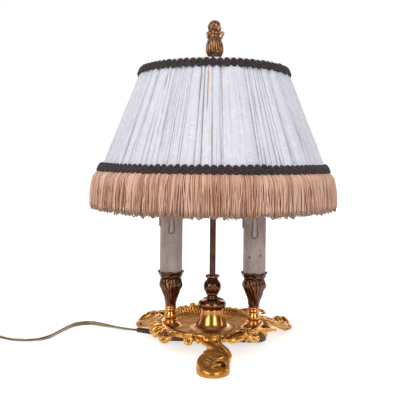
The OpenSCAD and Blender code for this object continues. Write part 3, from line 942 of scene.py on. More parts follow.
@dataclass(frozen=True)
class Dish:
    """The cast dish: a saucer whose rolled rim carries shells, curls and leaves."""

    floor: float = 19.0  # height of its floor
    under: float = 16.0  # height of its underside
    crest: float = 27.6  # height of the rolled rim
    candle_x: float = 50.0  # distance of the candle bosses from the middle
    gadroons: int = 96  # number of gadroons round the inner wall
    skin: float = 0.68  # size of the faces of its skin

    def blank(self) -> BMesh:
        """The turned saucer, with its rim rising and falling a little."""
        c, f, u = self.crest, self.floor, self.under
        profile = fair([(0, u), (46, u + 0.1), (51, u + 1.4), (56, u + 4.6), (59.4, u + 6.4),
                (61.4, u + 8), (61.6, c - 1.6), (60, c - 0.2), (58, c), (56.2, c - 1), (54.2, f + 5),
                (51, f + 1.9), (47.4, f + 0.4), (44, f), (0, f)], (13,), 2.0)
        mesh = to_mesh(turned(profile, 360, closed=False))

        def sway(p: Array, n: Array) -> Array:
            """Let the rim rise and fall along its way round.

            Args:
                p: the points.
                n: their normals; not used.

            Returns:
                The points moved.
            """
            r, angle, _ = polar(p)
            rise = Wobble(5, 3, 14)(angle) * 0.35
            for at, wide, high in ((-146, 15, -2.4), (112, 20, 2.4), (-30, 16, -1.6), (18, 22, -2.5),
                    (180, 24, -2),
                    (-92, 34, -2.3)):
                rise = rise + high * swell(turn_from(angle, radians(at)), 0, radians(wide))
            return p + np.stack([0 * r, 0 * r, rise * smooth(51, 58, r)], 1)

        return joined([chased(mesh, sway)])

    @staticmethod
    def round_axis(rows: Sequence[Row], count: int = 30) -> Stroke:
        """A stroke from rows of radius, degrees round the axis, height and thickness."""
        return flow([[r * cos(radians(d)), r * sin(radians(d)), z, t]
                     for r, d, z, t in rows], count)

    @staticmethod
    def hanging_volute(radius: float, degrees: float, z: float, size: float, thick: float,
            start: float, turns: float) -> Stroke:
        """A scroll on the outside of the rim, wound in on itself.

        Args:
            radius: distance of its eye from the axis.
            degrees: direction of its eye.
            z: height of its eye.
            size: radius of the scroll.
            thick: radius of its moulding.
            start: direction of its outer end seen from outside, in degrees from the right.
            turns: turns, above 0 for leftwards over the top.

        Returns:
            The stroke's points.
        """
        a = radians(degrees)
        out = []
        for k in range(34):
            t = k / 33
            phi = radians(start + 360 * turns * t)
            reach = size * (1 - 0.84 * t)
            side, rise = reach * cos(phi), reach * sin(phi)
            r = radius + 1.2 * t - 0.25 * rise
            out.append([r * cos(a) - side * sin(a), r * sin(a) + side * cos(a),
                        z + rise, thick * (1 - 0.5 * t)])
        return out

    def front_work(self) -> list[Stroke]:
        """The shells, tubes, curls and leaves along the front, from the left to the right."""
        rows: tuple[tuple[Row, ...], ...] = (
            # shell under the left candle
            ((57, -171, 23.4, 2.4), (64, -173, 22.8, 3.7), (71, -175.4, 19.6, 4.2),
             (75.5, -177, 17.4, 2.6)),
            ((58, -164, 23.4, 2.4), (64, -164.4, 21.8, 3.8), (70, -165.2, 18.4, 4.2),
             (74, -166.2, 15.6, 2.6)),
            ((59, -157.4, 22.8, 2.4), (65, -156.4, 20.2, 3.5), (70, -155.2, 17.2, 3.6),
             (72.5, -153.2, 14.8, 2.4)),
            # curl beside it
            ((60, -151.6, 22.6, 2), (65, -148.4, 20.2, 3.3), (69, -144, 17.2, 4.1),
             (70.4, -138.6, 15.9, 4), (69, -133.8, 17.6, 3.3), (66, -132.4, 21, 2.6),
             (62, -134.6, 23, 2.2)),
            # tube that runs into the volute
            ((61, -144, 22.4, 2.6), (61.2, -136, 23.6, 3.4), (61, -128, 24, 3.7), (60.6, -120, 24.2, 3.7),
             (60.2, -112.6, 24.4, 3.4), (60, -106, 24, 3)),
            ((60.4, -108, 22.6, 3), (61, -98, 21.8, 3.6), (61, -86, 21.4, 3.6), (61.2, -72, 21.6, 3.2)),
            # drapery between the volute and the neck
            ((59, -105, 25, 2.4), (63.4, -102.4, 21.6, 3.2), (64.2, -100, 18.6, 2.6)),
            ((59, -96.6, 25, 2.4), (62.6, -94.4, 22, 3), (63.4, -92.4, 19.2, 2.2)),
            ((59.6, -110, 25.2, 2.6), (60, -100, 25, 3), (60, -90, 25, 3), (59.8, -80, 25, 3),
             (59.4, -70, 25.2, 2.6)),
            # two knobs
            ((60, -80.6, 24.6, 2), (63.4, -79.8, 22.8, 2.4), (64.8, -79.2, 20.4, 2.6)),
            ((60, -75.2, 24.6, 2), (63.6, -74.6, 22.8, 2.5), (65, -74, 20.6, 2.7)),
            # tube with its end curled up over the rim
            ((64.6, -71, 20.8, 2.6), (64, -67, 21.2, 3.9), (63, -61, 21.8, 4.3), (62, -55.6, 22.6, 4),
             (61.6, -52, 24.4, 3.2), (59.6, -50.4, 26.6, 2.7), (56.4, -53, 27.6, 2.4),
             (54, -57.2, 27.2, 2.1), (54.6, -61, 26.8, 1.6), (57, -61.8, 26.2, 1.1)),
            # leaf tip
            ((60.6, -48.4, 22.4, 2), (62.4, -49.4, 18.8, 2.2), (61.8, -50, 15.4, 1.1)),
            # open curl on the right
            ((57, -38, 26.4, 1.8), (58.4, -43.6, 27.2, 2.4), (61.4, -48, 25.2, 2.8),
             (65, -48.2, 21.8, 3.2), (67.2, -44.8, 18.8, 3.5), (67.6, -40.6, 18, 3.5),
             (66.2, -36.4, 18.8, 2.8)),
            ((59.6, -40.4, 24.2, 1.4), (62.4, -37, 23.4, 2), (63.4, -32.6, 22.6, 1.8)),
            # leaf on the right
            ((60, -21, 22.4, 1.8), (65.6, -18.8, 18.8, 2.6), (67.4, -17.2, 14.2, 1.4)),
            ((58.6, -33, 25.4, 1.6), (61.6, -24, 23, 2.1), (66, -15, 21, 2.2), (71, -8, 19, 2.2),
             (76, -2, 17, 2)),
        )
        volute = self.hanging_volute(63, -111.2, 20.4, 6.2, 2.9, 50, 1.35)
        return [self.round_axis(row) for row in rows] + [volute]

    def back_work(self) -> list[Stroke]:
        """The shells and curls along the back and the sides."""
        rows: list[tuple[Row, ...]] = [
            *(((56, d, 27.6, 2.6), (61, d, 29.2, 3.8), (66, d, 27.6, 4.2), (69.4, d, 23.4, 3.2))
              for d in (106, 115)),
            *(((57, d, 26.6, 2), (62, d, 28, 3), (66, d + 1, 26, 3), (68, d + 1.4, 22, 2.2))
              for d in (125, 131.6)),
            *(((58, d, 25.6, 2.2), (62.6, d, 24.6, 3.4), (66.4, d, 21.8, 3.6), (68, d, 18.4, 2.6))
              for d in (62, 71, 80, 88)),
            ((60, 58, 25.6, 1.8), (62.6, 52, 26.4, 2.4), (66, 46, 27.4, 2.6), (70, 41, 27.8, 2.4),
             (74.6, 36.4, 27.6, 2.1), (76.4, 31.6, 26.8, 1.8), (73, 29, 26, 1.5), (70.4, 32, 25.8, 1.1)),
            *(((60, d * 0.9, 21.8, 1.4), (67, d, 20.8, 2.3), (73, d * 1.06, 18.4, 1.8))
              for d in (-6, -1, 4, 9)),
            *(((60, d, 22.2, 1.6), (67, d, 21.6, 2.6), (73, d, 18.6, 2)) for d in (168, 174, 180)),
        ]
        back = self.hanging_volute(62.4, 97, 22.4, 4.8, 2.2, 130, -1.4)
        return [self.round_axis(row) for row in rows] + [back]

    def pads(self) -> list[BMesh]:
        """The lobes under the candle lights and the seats that rise from them."""
        lobe = fair([(0, 16.3), (12, 16.3), (14.6, 17.6), (14, 19.8), (11, 21.4), (0, 21.8)], (), 1.2)
        seat = fair([(0, 16.6), (15.6, 16.6), (15.8, 19.2), (13.6, 20.4), (12, 22), (10.8, 23.4),
                     (9.8, 24),
                     (0, 24)], (1, 6))
        return [shifted(turned(profile, 72, closed=False), side * x)
                for side in (-1, 1) for profile, x in ((lobe, 60), (seat, self.candle_x))]

    def build(self) -> Object:
        """Build and dress the dish."""
        forms = [self.blank(), *self.pads(), strands(self.front_work() + self.back_work(), 3)]
        mesh = fused(joined(forms), self.skin, 11)

        def chase(p: Array, n: Array) -> Array:
            """Cut the chaser's work into the casting.

            Args:
                p: the points.
                n: their normals.

            Returns:
                The points moved.
            """
            r, angle, _ = polar(p)
            seat = np.hypot(np.abs(p[:, 0]) - self.candle_x, p[:, 1])
            inner = smooth(45.5, 48, r) * smooth(58, 56, r) * smooth(0.1, 0.4, n[:, 2]) * smooth(14.5, 17,
                seat)
            inner = inner * (0.25 + 0.75 * smooth(-0.35, 0.1, np.sin(angle)))
            lobes = np.abs(np.sin(angle * self.gadroons / 2)) ** 0.7
            holes = swell(r, 55.6, 1.5) * (1 - lobes) * 1.5
            p = p + n * (((lobes - 0.5) * 1.1 - holes) * inner)[:, None]
            outer = smooth(61.5, 64, r) * smooth(12, 15, seat)
            veins = np.sin(angle * 40 + 0.3 * (r - 60)) * 0.07 * outer
            ticks = swell((angle + pi / 2) * 180 / pi % 3.2, 1.6, 0.75) * swell(r, 52.6, 0.9)
            ticks = ticks * smooth(-2.75, -2.6, angle) * smooth(-0.45, -0.6, angle) * (n[:, 2] > 0.2)
            p = p - n * (1.1 * ticks)[:, None]
            pitted = (Wobble(2, 20, 60)(angle) + Wobble(3, 12, 40)(r / 9)) * 0.02
            return p + n * (veins + pitted)[:, None]

        chased(mesh, chase)
        find_relief(mesh, 40)
        p = read(mesh.vertices, "co", 3) / MM
        r, _, z = polar(p)
        relief = read(mesh.attributes["relief"].data, "value", 1)
        # painted light: the back half of the inner wall, which faces the front, is lifted out of the
        # recess colour towards the worn one
        store(mesh, "relief", relief + 0.36 * smooth(46, 49, r) * smooth(60, 57, r)
              * smooth(0, 20, p[:, 1]))
        store(mesh, "dull", 0.8 * smooth(47.5, 43.5, r) * smooth(20.6, 19.6, z))
        return finish_piece("dish", mesh, Slot.gilt_bronze, Body.lamp, "base_plate")


@dataclass(frozen=True)
class ScrollFoot:
    """A cast foot: a sloping plate with a double-curved neck and a volute on the table."""

    reach: float = 117.0  # distance of its tip from the lamp's axis
    volute: float = 17.3  # radius of the volute
    across: float = 5.0  # offset of the volute from the foot's own axis
    edge: float = 6.2  # height of the volute's edge at the tip
    slope: float = 19.1  # slope of its top, in degrees
    # Each foot's name, direction, side and width of the leaf beside it
    feet: tuple[tuple[str, float, int, float], ...] = (
        ("front", 0.0, 1, 0.0), ("left", -120.0, -1, 18.0), ("right", 120.0, 1, 25.0))
    # Distances from the axis for the heights in lifts
    spans: tuple[float, ...] = (70, 78, 85, 97, 103, 108, 114, 118)
    # How far each foot's far side rises over its slope, at those distances
    lifts: tuple[tuple[float, ...], ...] = ((0,) * 8, (1, 2.5, 3.2, 6.0, 7.0, 7.2, 6.6, 5.2),
            (0, -1.5, -1.5, -0.8, 1.0, 4.6, 7.6, 7.4))
    # Middle line of the groove round the volute's eye
    hook: tuple[Pair, ...] = ((8.4, 102), (10.7, 100.3), (13.7, 100.6), (15.8, 103.3), (16.6, 106.6),
            (15.2, 109.6),
            (11, 110.4), (6.9, 110.2))
    # Middle lines of the cuts beside it
    hollows: tuple[tuple[Pair, ...], ...] = (((1.4, 92.6), (4.8, 95.6)), ((-1.6, 96.2), (1.8, 98.8)),
            ((-2.6, 99.8), (0.4, 101.8)), ((-1.8, 103.4), (0.6, 105.4)))
    # Middle line of the sunk bed in the neck
    channel: tuple[Pair, ...] = ((2, 64), (5, 70), (9, 76), (12.6, 82), (12.6, 88))

    def top(self, u: Array | float) -> Array | float:
        """Height of its top at a distance from the axis."""
        return self.edge + (self.reach - u) * tan(radians(self.slope))

    def arch(self, u: Array | float) -> Array | float:
        """Height of its underside at a distance from the axis."""
        return np.interp(u, [60, 66, 72, 80, 104, 118], [15.4, 17.0, 18.6, 15.2, 0.0, 0.0])

    def lifted(self, bm: BMesh) -> BMesh:
        """Map a blank of height 0 to 10 between the underside and the top."""
        for v in bm.verts:
            u = -v.co.y / MM
            low, high = float(self.arch(u)), float(self.top(u))
            v.co.z = (low + (high - low) * v.co.z / MM / 10) * MM
        return bm

    def plate(self, outline: Sequence[Pair], high: float) -> BMesh:
        """A blank cut to an outline, up to a share of the height in tenths."""
        bm = prism(outline, 0, high)
        bmesh.ops.subdivide_edges(bm, edges=bm.edges, cuts=4, use_grid_fill=True)
        return self.lifted(bm)

    def forms(self, leaf: float) -> list[BMesh | Mesh]:
        """The overlapping forms of one foot, which points to -Y, with a leaf of that width.

        Args:
            leaf: width of the leaf beside the foot, 0 for none.

        Returns:
            The forms, to be joined.
        """
        disc = turned(fair([(0, 0), (16.8, 0), (17.4, 0.9), (17.5, 4), (17.2, 6.6), (16.6, 8.8),
                (15.4, 9.8), (14, 10),
                (12.8, 9.7), (12.1, 8.9), (11.4, 8.4), (0, 8.3)], (1,), 0.7), 96, closed=False)
        disc = shifted(disc, self.across, self.volute - self.reach)
        neck = self.plate([(-6, -58), (-5.4, -66), (-3.2, -71.6), (0.6, -76.6), (3, -80), (-5.4, -84.6),
                (-9.4, -93), (0, -102), (14, -99), (20, -96), (23.2, -91), (22.4, -85.5), (18, -78),
                (12.8, -72.4), (11, -58)], 7.0)
        near = -7 if leaf else -3.8
        tongue = prism([(near, -47), (7, -47), (7, -59), (4, -66), (0, -66), (near + 2.4, -61),
                (near, -58)], 11, 15.8)
        parts = [self.lifted(disc), neck, tongue, strands(self.mouldings(leaf), 3)]
        if leaf:
            w = leaf - 1
            parts.append(self.plate([(4, -61), (-0.93 * w, -61), (-w, -67), (-0.98 * w, -75),
                    (-0.9 * w, -84), (-0.74 * w, -93), (-0.5 * w, -102), (-0.2 * w, -109), (4, -111)],
                    6.6))
        return parts

    def mouldings(self, leaf: float) -> list[Stroke]:
        """The raised mouldings on the foot's top and along its leaf.

        Args:
            leaf: width of the leaf beside the foot, 0 for none.

        Returns:
            Their strokes.
        """
        def run(rows: Sequence[Row], count: int) -> Stroke:
            """A stroke from rows across the foot, away from the axis, under its top, and thickness."""
            return flow([[x, -u, float(self.top(u)) - drop, t] for x, u, drop, t in rows], count)

        lines = [run(rows, count) for count, rows in (
            # ridge round the volute
            (60, [(19.7, 110.7, 1.8, 1.2), (19.6, 105.7, 0.8, 1.6), (18.7, 101.6, 0.6, 1.7),
                  (16, 98.3, 0.5, 1.7), (12.3, 97.6, 0.5, 1.7), (8.3, 99, 0.7, 1.6),
                  (5.4, 102.8, 0.9, 1.4), (3.8, 106.4, 1.2, 1.2)]),
            # its eye
            (30, [(3.6, 106.8, 1.4, 1.3), (7.4, 105.6, 0.9, 1.8), (11.4, 105, 0.5, 2.2),
                  (13, 105.8, 0.8, 1.6)]),
            # right edge
            (60, [(10.4, 62, 2, 1.8), (11.6, 70.6, 1.9, 2.1), (17, 78, 1.6, 2.2), (21, 85.2, 1.3, 2.3),
                  (22, 91, 1.4, 2.3), (20.8, 95.6, 1.8, 2), (19.6, 100, 2.4, 1.4)]),
            # line inside it
            (40, [(8.6, 70, 2.6, 0.9), (14, 78.4, 2.4, 1), (17.6, 85, 2.2, 1), (17.6, 90, 2.2, 0.9)]),
            # left edge
            (60, [(-8.6, 61, 2, 1.8), (-7.4, 69, 1.8, 2), (-1.6, 73.8, 1.6, 2), (3.6, 78, 1.6, 1.9),
                  (5.2, 81, 1.8, 1.6), (3.6, 83.2, 2, 1.3), (0.8, 83, 2.4, 1)]),
            # leaf's tip
            (30, [(7.4, 79, 2.4, 1.2), (2.6, 81.8, 1.6, 1.7), (-2.6, 83.6, 1.2, 1.7),
                  (-6, 85.2, 1.6, 1.2)]),
            # lip over the volute
            (34, [(4.6, 97, 2.8, 0.9), (7.2, 95, 2, 1.4), (11, 93.8, 1.5, 1.6), (15.6, 92.2, 1.3, 1.6),
                  (20.6, 91.4, 1.4, 1.7)]),
            (20, [(2.6, 84.6, 3, 1), (4.4, 89, 2.6, 1.3), (6, 94, 2.6, 1.3)]),  # rib
            # inner line
            (60, [(-4.4, 87.4, 1.6, 0.8), (-8, 92.6, 1.4, 0.9), (-8.6, 99.6, 1.4, 0.9),
                  (-6.4, 106, 1.4, 0.9), (-1, 110.6, 1.4, 0.9), (6, 112.4, 1.4, 0.9),
                  (14, 110.6, 1.6, 0.8)]),
        )]
        if leaf:
            for share, drop, thick in ((1.0, 3.2, 2.6), (0.8, 1.6, 1.9), (0.6, 1.6, 1.6),
                    (0.42, 1.7, 1.4)):
                w = (leaf - 2.4) * share
                lines.append(run([(-0.96 * w, 62, drop + 1, thick * 0.8), (-w, 68, drop, thick),
                        (-0.98 * w, 76, drop, thick), (-0.9 * w, 84, drop, thick),
                        (-0.74 * w, 93, drop, thick), (-0.46 * w, 102, drop + 0.2, thick * 0.9),
                        (-0.1 * w, 109.6, drop + 0.6, thick * 0.6)], 60))
            lines.append(run([(8, 74, 1.6, 1.8), (13.4, 80, 0.2, 2.6), (13.6, 86, 0.4, 2.2),
                    (9.6, 88, 1.4, 1.6)], 30))
        return lines

    @staticmethod
    def away(x: Array, u: Array, line: Sequence[Pair]) -> Array:
        """Distance of points from a line of plan points.

        Args:
            x: place across the foot.
            u: distance from the lamp's axis.
            line: the line's points.

        Returns:
            The distance of each point, in millimetres.
        """
        best = np.full(len(x), 1e3)
        for (ax, au), (bx, bu) in zip(line, line[1:]):
            dx, du = bx - ax, bu - au
            t = np.clip(((x - ax) * dx + (u - au) * du) / (dx * dx + du * du), 0, 1)
            best = np.minimum(best, np.hypot(x - ax - t * dx, u - au - t * du))
        return best

    def build(self) -> list[Object]:
        """Build and dress the three feet."""
        made = []
        for (name, angle, side, leaf), lifts in zip(self.feet, self.lifts):
            mesh = fused(joined(self.forms(leaf)), 0.46, 1)

            def chase(p: Array, n: Array) -> Array:
                """Cut the chaser's work into the casting.

                Args:
                    p: the points.
                    n: their normals.

                Returns:
                    The points moved.
                """
                x, u = p[:, 0], -p[:, 1]
                up = smooth(0.4, 0.8, n[:, 2])
                cut = 2.3 * swell(self.away(x, u, self.hook), 0, 1.25)
                for hollow in self.hollows:
                    cut = np.maximum(cut, 1.7 * swell(self.away(x, u, hollow), 0, 1.15))
                bed = swell(self.away(x, u, self.channel), 0, 3.0)
                cut = np.maximum(cut, bed * (1.3 + 0.35 * np.sin(2.4 * u + 1.1 * x)))
                p = p - n * (cut * up)[:, None]
                p[:, 2] += np.interp(u, self.spans, lifts) * smooth(-5, 14, x) * smooth(0.5, 5.5, p[:, 2])
                if leaf:
                    p[:, 2] = np.maximum(p[:, 2], 4.4 * smooth(4, -3, x) * smooth(66, 72, u))
                fine = 0.03 * (Wobble(7, 8, 30)(x / 6) + Wobble(9, 8, 30)(u / 7))
                return p + n * fine[:, None]

            chased(mesh, chase)
            find_relief(mesh, 34)
            store(mesh, "dull", np.full(len(mesh.vertices), 0.04 if leaf else 0.18))
            if side < 0:
                mesh.transform(Matrix.Diagonal((-1, 1, 1, 1)))
                mesh.flip_normals()
            mesh.transform(Matrix.Rotation(radians(angle), 4, "Z"))
            made.append(finish_piece(f"scroll_foot_{name}", mesh, Slot.gilt_bronze, Body.lamp,
                    f"foot_{name}"))
        return made


# Column


@dataclass(frozen=True)
class Column:
    """Bell, cap, knop and finial on the rod."""

    bore: float = 3.7  # radius of the hole for the rod
    steps: int = 144  # steps round the turned pieces

    def bell(self) -> Object:
        """The polished bell."""
        profile = fair([(self.bore, 41), (13, 41), (13.3, 38.5), (14, 34), (15.2, 30), (16.8, 26.2),
                (19.2, 22.8), (22.4, 20.6), (25.4, 19.6), (28, 19.2), (28.4, 18.9), (19, 18.9),
                (self.bore, 18.9)],
                (1, 10, 11), 0.8)
        mesh = to_mesh(turned(profile, self.steps))

        def skirt(p: Array, n: Array) -> Array:
            """Darken and roughen the skirt with painted shade, and ease its edge down."""
            r, _, z = polar(p)
            # painted shade: the flaring skirt gets a low relief, so it takes the recess colour as a dark
            # ring
            store(mesh, "relief", -0.9 * smooth(20.6, 23.5, r))
            return p - np.stack([0 * r, 0 * r, 0.25 * smooth(23, 27, r)], 1) * (z > 19.2)[:, None]

        chased(mesh, skirt)
        return finish_piece("bell", mesh, Slot.polished_brass, Body.lamp, "bell")

    def cap(self) -> Object:
        """The squashed cap on the bell."""
        profile = fair([(self.bore, 41), (12.8, 41), (14.4, 41.9), (16, 43.6), (16.6, 46), (16.3, 48.4),
                (14.6, 50.6),
                (11.4, 52.2), (8, 53.2), (self.bore, 53.4)], (1,), 0.7)
        mesh = to_mesh(turned(profile, self.steps))
        store(mesh, "relief", np.full(len(mesh.vertices), 0.2))
        return finish_piece("cap", mesh, Slot.dark_bronze, Body.lamp, "bell_cap")

    def knop(self) -> Object:
        """The leafy knop."""
        profile = fair([(self.bore, 50.8), (6.2, 50.9), (7, 52.4), (6.9, 54.4), (6.1, 55.8), (6.2, 57.2),
                (7.4, 58.6), (7.6, 60), (9.4, 62.6), (10.4, 66.8), (9.5, 71), (7.4, 74.6), (6.3, 76.6),
                (7.5, 77.8), (8.5, 79.2), (8.2, 80.3), (6.6, 80.6), (self.bore, 80.2)], (1,), 0.4)
        mesh = to_mesh(turned(profile, self.steps))

        def leaves(p: Array, n: Array) -> Array:
            """Raise the leaves and their folds.

            Args:
                p: the points.
                n: their normals.

            Returns:
                The points moved.
            """
            r, angle, z = polar(p)
            belly = smooth(59.4, 62, z) * smooth(75.6, 72, z) * smooth(5, 6, r)
            twist = angle + 0.05 * (z - 67)
            folds = np.abs(np.sin(5.5 * twist)) ** 0.8 - 0.5
            bract = np.cos(3.5 * (angle + 1.25)) * 4.2 + 70.6
            lifted = smooth(bract - 0.5, bract + 0.5, z) * belly
            lip = smooth(77, 78.4, z) * smooth(6.2, 7, r)
            out = 0.5 * folds * belly * (1 - 0.4 * lifted) + 0.1 * lifted + 0.25 * lip * np.cos(9 * angle)
            beads = swell(z, 58.8, 1.1) * (r > 5) * 0.4 * np.abs(np.sin(10 * angle))
            return p + n * (out + beads)[:, None]

        chased(mesh, leaves)
        find_relief(mesh, 14)
        return finish_piece("knop", mesh, Slot.dark_bronze, Body.lamp, "column_knop")

    def finial(self) -> Object:
        """The leafy finial."""
        body = turned(fair([(0, 340.9), (6, 340.9), (8.4, 343.2), (10.3, 347.5), (10.7, 352.5), (9.8, 358),
                (7.8, 363.4), (6.3, 366.6), (6.6, 368.4), (7.6, 369.8), (7.2, 371.6), (5.5, 373),
                (6.4, 375.4), (7.4, 379), (6.5, 382.4), (3.8, 385.2), (0, 386.6)], (1,), 0.5), 96,
                closed=False)
        strokes = []
        for a, z, out in ((-12, 367.6, 10.6), (78, 368.4, 8.6), (168, 368.2, 9.2), (258, 368.2, 8.8)):
            c, s = cos(radians(a)), sin(radians(a))
            strokes.append(flow([[r * c, r * s, z + h, t] for r, h, t in
                    ((6.4, -6, 0.9), (8.4, -2.4, 1.5), (out - 1, 0.6, 1.7), (out, 2.8, 1.5),
                    (out - 1.8, 4.2, 1.2), (out - 3.4, 3.2, 0.8))], 24))
        for k in range(5):
            a = radians(72 * k + 15)
            strokes.append(flow([[r * cos(a + d), r * sin(a + d), z, t] for r, d, z, t in
                    ((6.4, 0, 373, 0.8), (7.2, 0.12, 376, 1.2), (7.2, 0.3, 379.6, 1.2),
                    (5, 0.6, 383.4, 1.0),
                    (2.2, 0.9, 386, 0.7))], 24))
        mesh = fused(joined([body, strands(strokes, 3)]), 0.34, 2)

        def leaves(p: Array, n: Array) -> Array:
            """Raise the leaves and their folds.

            Args:
                p: the points.
                n: their normals.

            Returns:
                The points moved.
            """
            _, angle, z = polar(p)
            tulip = smooth(342, 346, z) * smooth(367, 362, z)
            folds = np.abs(np.sin(6 * angle + 0.08 * (z - 350))) ** 0.7 - 0.5
            edge = 353 + 5.5 * np.cos(3 * angle + 0.9)
            crease = swell(z, edge, 0.9) * tulip
            return p + n * (0.5 * folds * tulip - 0.5 * crease)[:, None]

        chased(mesh, leaves)
        find_relief(mesh, 24)
        return finish_piece("finial", mesh, Slot.finial_bronze, Body.lamp, "finial")

    def build(self) -> list[Object]:
        """Build and dress the column."""
        dress(Slot.aged_rod, "stem_rod")
        return [self.bell(), self.cap(), self.knop(), self.finial()]


# Candle lights


@dataclass(frozen=True)
class Drip:
    """A run of wax on a sleeve."""

    angle: float  # its place round the sleeve in degrees, with -90 at the front
    bottom: float  # height of its lower end
    width: float = 2.9  # its half-width in millimetres
    proud: float = 1.5  # how far it stands out


@dataclass(frozen=True)
class CandleLight:
    """One candle light."""

    name: str  # left or right
    x: float  # place of its axis
    turn: float  # how far its cup is turned, in degrees
    drips: tuple[Drip, ...]  # the wax runs on its sleeve
    # Brown spots on its sleeve: angle in degrees, height and radius
    spots: tuple[tuple[float, float, float], ...]
    sleeve_r: float = 13.5  # radius of the sleeve

    def placed(self, mesh: Mesh) -> Mesh:
        """Move a mesh from the lamp's axis to the light's."""
        mesh.transform(Matrix.Translation((self.x * MM, 0, 0)))
        return mesh

    def piece(self, name: str, mesh: Mesh, slot: Slot, node: str) -> Object:
        """A finished piece that stands for this light's solid of that name."""
        return finish_piece(f"{name}_{self.name}", mesh, slot, Body.lamp, f"{node}_{self.name}")

    def foot(self) -> Object:
        """The polished turned foot."""
        profile = fair([(5.05, 24), (10.2, 24), (10, 24.7), (8.8, 25.2), (8.6, 26), (8.2, 26.8),
                (6.8, 27.4), (7, 28.4), (7.5, 30.4), (7.4, 32.4), (6.7, 34.6), (5.9, 36.3), (6, 37.4),
                (7, 38.4), (7.2, 39.6), (6.5, 40.8), (7.1, 42), (7.1, 43), (6.4, 43.6), (5.05, 43.6)],
                (1, 6, 15, 18), 0.4)
        mesh = self.placed(to_mesh(turned(profile, 96)))
        find_relief(mesh, 8)
        return self.piece("light_foot", mesh, Slot.polished_brass, "candle_foot")

    def cup(self) -> Object:
        """The fluted, leafy cup."""
        profile = fair([(5.05, 43.6), (6.3, 43.6), (6.5, 45.5), (7, 48.5), (8.4, 54), (10.7, 61),
                (12.8, 66), (13.5, 69.5), (13.1, 73), (12.3, 76.2), (12.4, 78.4), (13.8, 81),
                (15.3, 83.4), (15.6, 84.6), (15, 85.3), (13.56, 84.6), (13.56, 82.4), (5.05, 82.4)],
                (1, 15, 16), 0.42)
        mesh = to_mesh(turned(profile, 168))

        def leaves(p: Array, n: Array) -> Array:
            """Raise the leaves and their folds.

            Args:
                p: the points.
                n: their normals.

            Returns:
                The points moved.
            """
            r, angle, z = polar(p)
            outer = smooth(0.0, 0.6, r - np.interp(z, [43, 48, 60, 80, 86], [5.3, 5.6, 8.5, 11.6, 14]))
            belly = smooth(50, 62, z) * smooth(77.4, 74.6, z)
            flutes = (np.abs(np.sin(9 * angle + 0.03 * (z - 66))) ** 0.7 - 0.55) * belly
            stem = smooth(44.5, 47, z) * smooth(64, 58, z)
            folds = np.cos(5 * (angle + 0.045 * (z - 56))) * stem
            curl = (angle + radians(110 + self.turn) + 0.03 * (z - 68)) % (pi / 2) * 13
            turned_edge = (swell(curl, 3, 1.3) - 0.9 * swell(curl, 0.6, 1.2)) * swell(z, 69, 5)
            wavy = 79.9 + 0.9 * np.sin(9 * angle) + 0.45 * np.sin(17 * angle + 1)
            frill = swell(z, wavy, 0.75) * smooth(76, 78, z)
            lip = smooth(81, 84, z) * np.cos(8 * angle) * 0.3
            out = 0.6 * flutes + 0.42 * folds + 0.9 * turned_edge + 0.8 * frill + lip
            p = p + n * (out * outer)[:, None]
            p[:, 2] += 0.45 * np.cos(4 * angle + 0.8) * smooth(82.6, 84.4, z) * smooth(14.2, 15, r)
            return p

        chased(mesh, leaves)
        mesh.transform(Matrix.Rotation(radians(self.turn), 4, "Z"))
        find_relief(self.placed(mesh), 16)
        z = read(mesh.vertices, "co", 3)[:, 2]
        relief = read(mesh.attributes["relief"].data, "value", 1)
        store(mesh, "relief", np.where(z > 81.4 * MM, -0.16, relief - 0.13))
        return self.piece("cup", mesh, Slot.dark_bronze, "candle_cup")

    def sleeve(self) -> Object:
        """The candle sleeve with its wax runs and stains."""
        walls = [(self.sleeve_r, 82.35 + 100.5 * k / 150) for k in range(151)]
        profile = walls + [(13.2, 183), (12.4, 183), (12.15, 182.8), (12.15, 82.35)]
        mesh = to_mesh(turned(profile, 180))
        count = len(mesh.vertices)
        marks = {"drip": np.zeros(count), "stain": np.zeros(count)}

        def run(p: Array, n: Array) -> Array:
            """Raise the wax runs and mark the stains.

            Args:
                p: the points.
                n: their normals.

            Returns:
                The points moved.
            """
            r, angle, z = polar(p)
            outer = r > 13.3
            rise = 0.35 * Wobble(4, 2, 8)(angle) * smooth(176, 182, z)
            for drip in self.drips:
                side = turn_from(angle, radians(drip.angle)) * self.sleeve_r - 0.25 * np.sin(z * 0.19)
                down = np.maximum(drip.bottom + drip.width - z, 0)
                half = drip.width * (0.82 + 0.18 * smooth(drip.bottom + 14, drip.bottom + 4, z))
                edge = np.hypot(side, down) - half
                body = np.sqrt(np.clip(1 - (np.maximum(edge + half, 0) / half) ** 2, 0, 1))
                rise = np.maximum(rise, drip.proud * body)
                near = (z > drip.bottom - 3) & outer
                rim = swell(edge, 0.15, 0.75) * (0.62 + 0.38 * smooth(drip.bottom + 24, drip.bottom + 2,
                    z)) * near
                marks["stain"] = np.maximum(marks["stain"], rim)
                marks["drip"] = np.maximum(marks["drip"], smooth(0.1, -0.5, edge) * near)
            for at, height, size in self.spots:
                turn = turn_from(angle, radians(at))
                away = np.hypot(turn * self.sleeve_r, (z - height) * 0.8) + 0.5 * np.sin(5 * turn + z)
                marks["stain"] = np.maximum(marks["stain"], smooth(size, size * 0.3, away) * 0.8 * outer)
            return p + n * (rise * outer)[:, None] * np.array([1, 1, 0])

        chased(mesh, run)
        for key, values in marks.items():
            store(mesh, key, values)
        return self.piece("candle_sleeve", self.placed(mesh), Slot.candle_wax, "sleeve")

    def bulb(self) -> Object:
        """The bulb's glass."""
        outside = [(6.4, 181), (7.4, 182), (8.6, 188), (11.8, 196), (15.4, 205), (17.3, 215), (16.9, 223),
                   (14.6, 233), (10.6, 243), (6, 251.5), (2.4, 255.8), (0, 256.8)]
        mesh = self.placed(to_mesh(turned(fair(outside, (), 1.6), 64, closed=False)))
        return self.piece("bulb", mesh, Slot.bulb_glass, "bulb_glass")

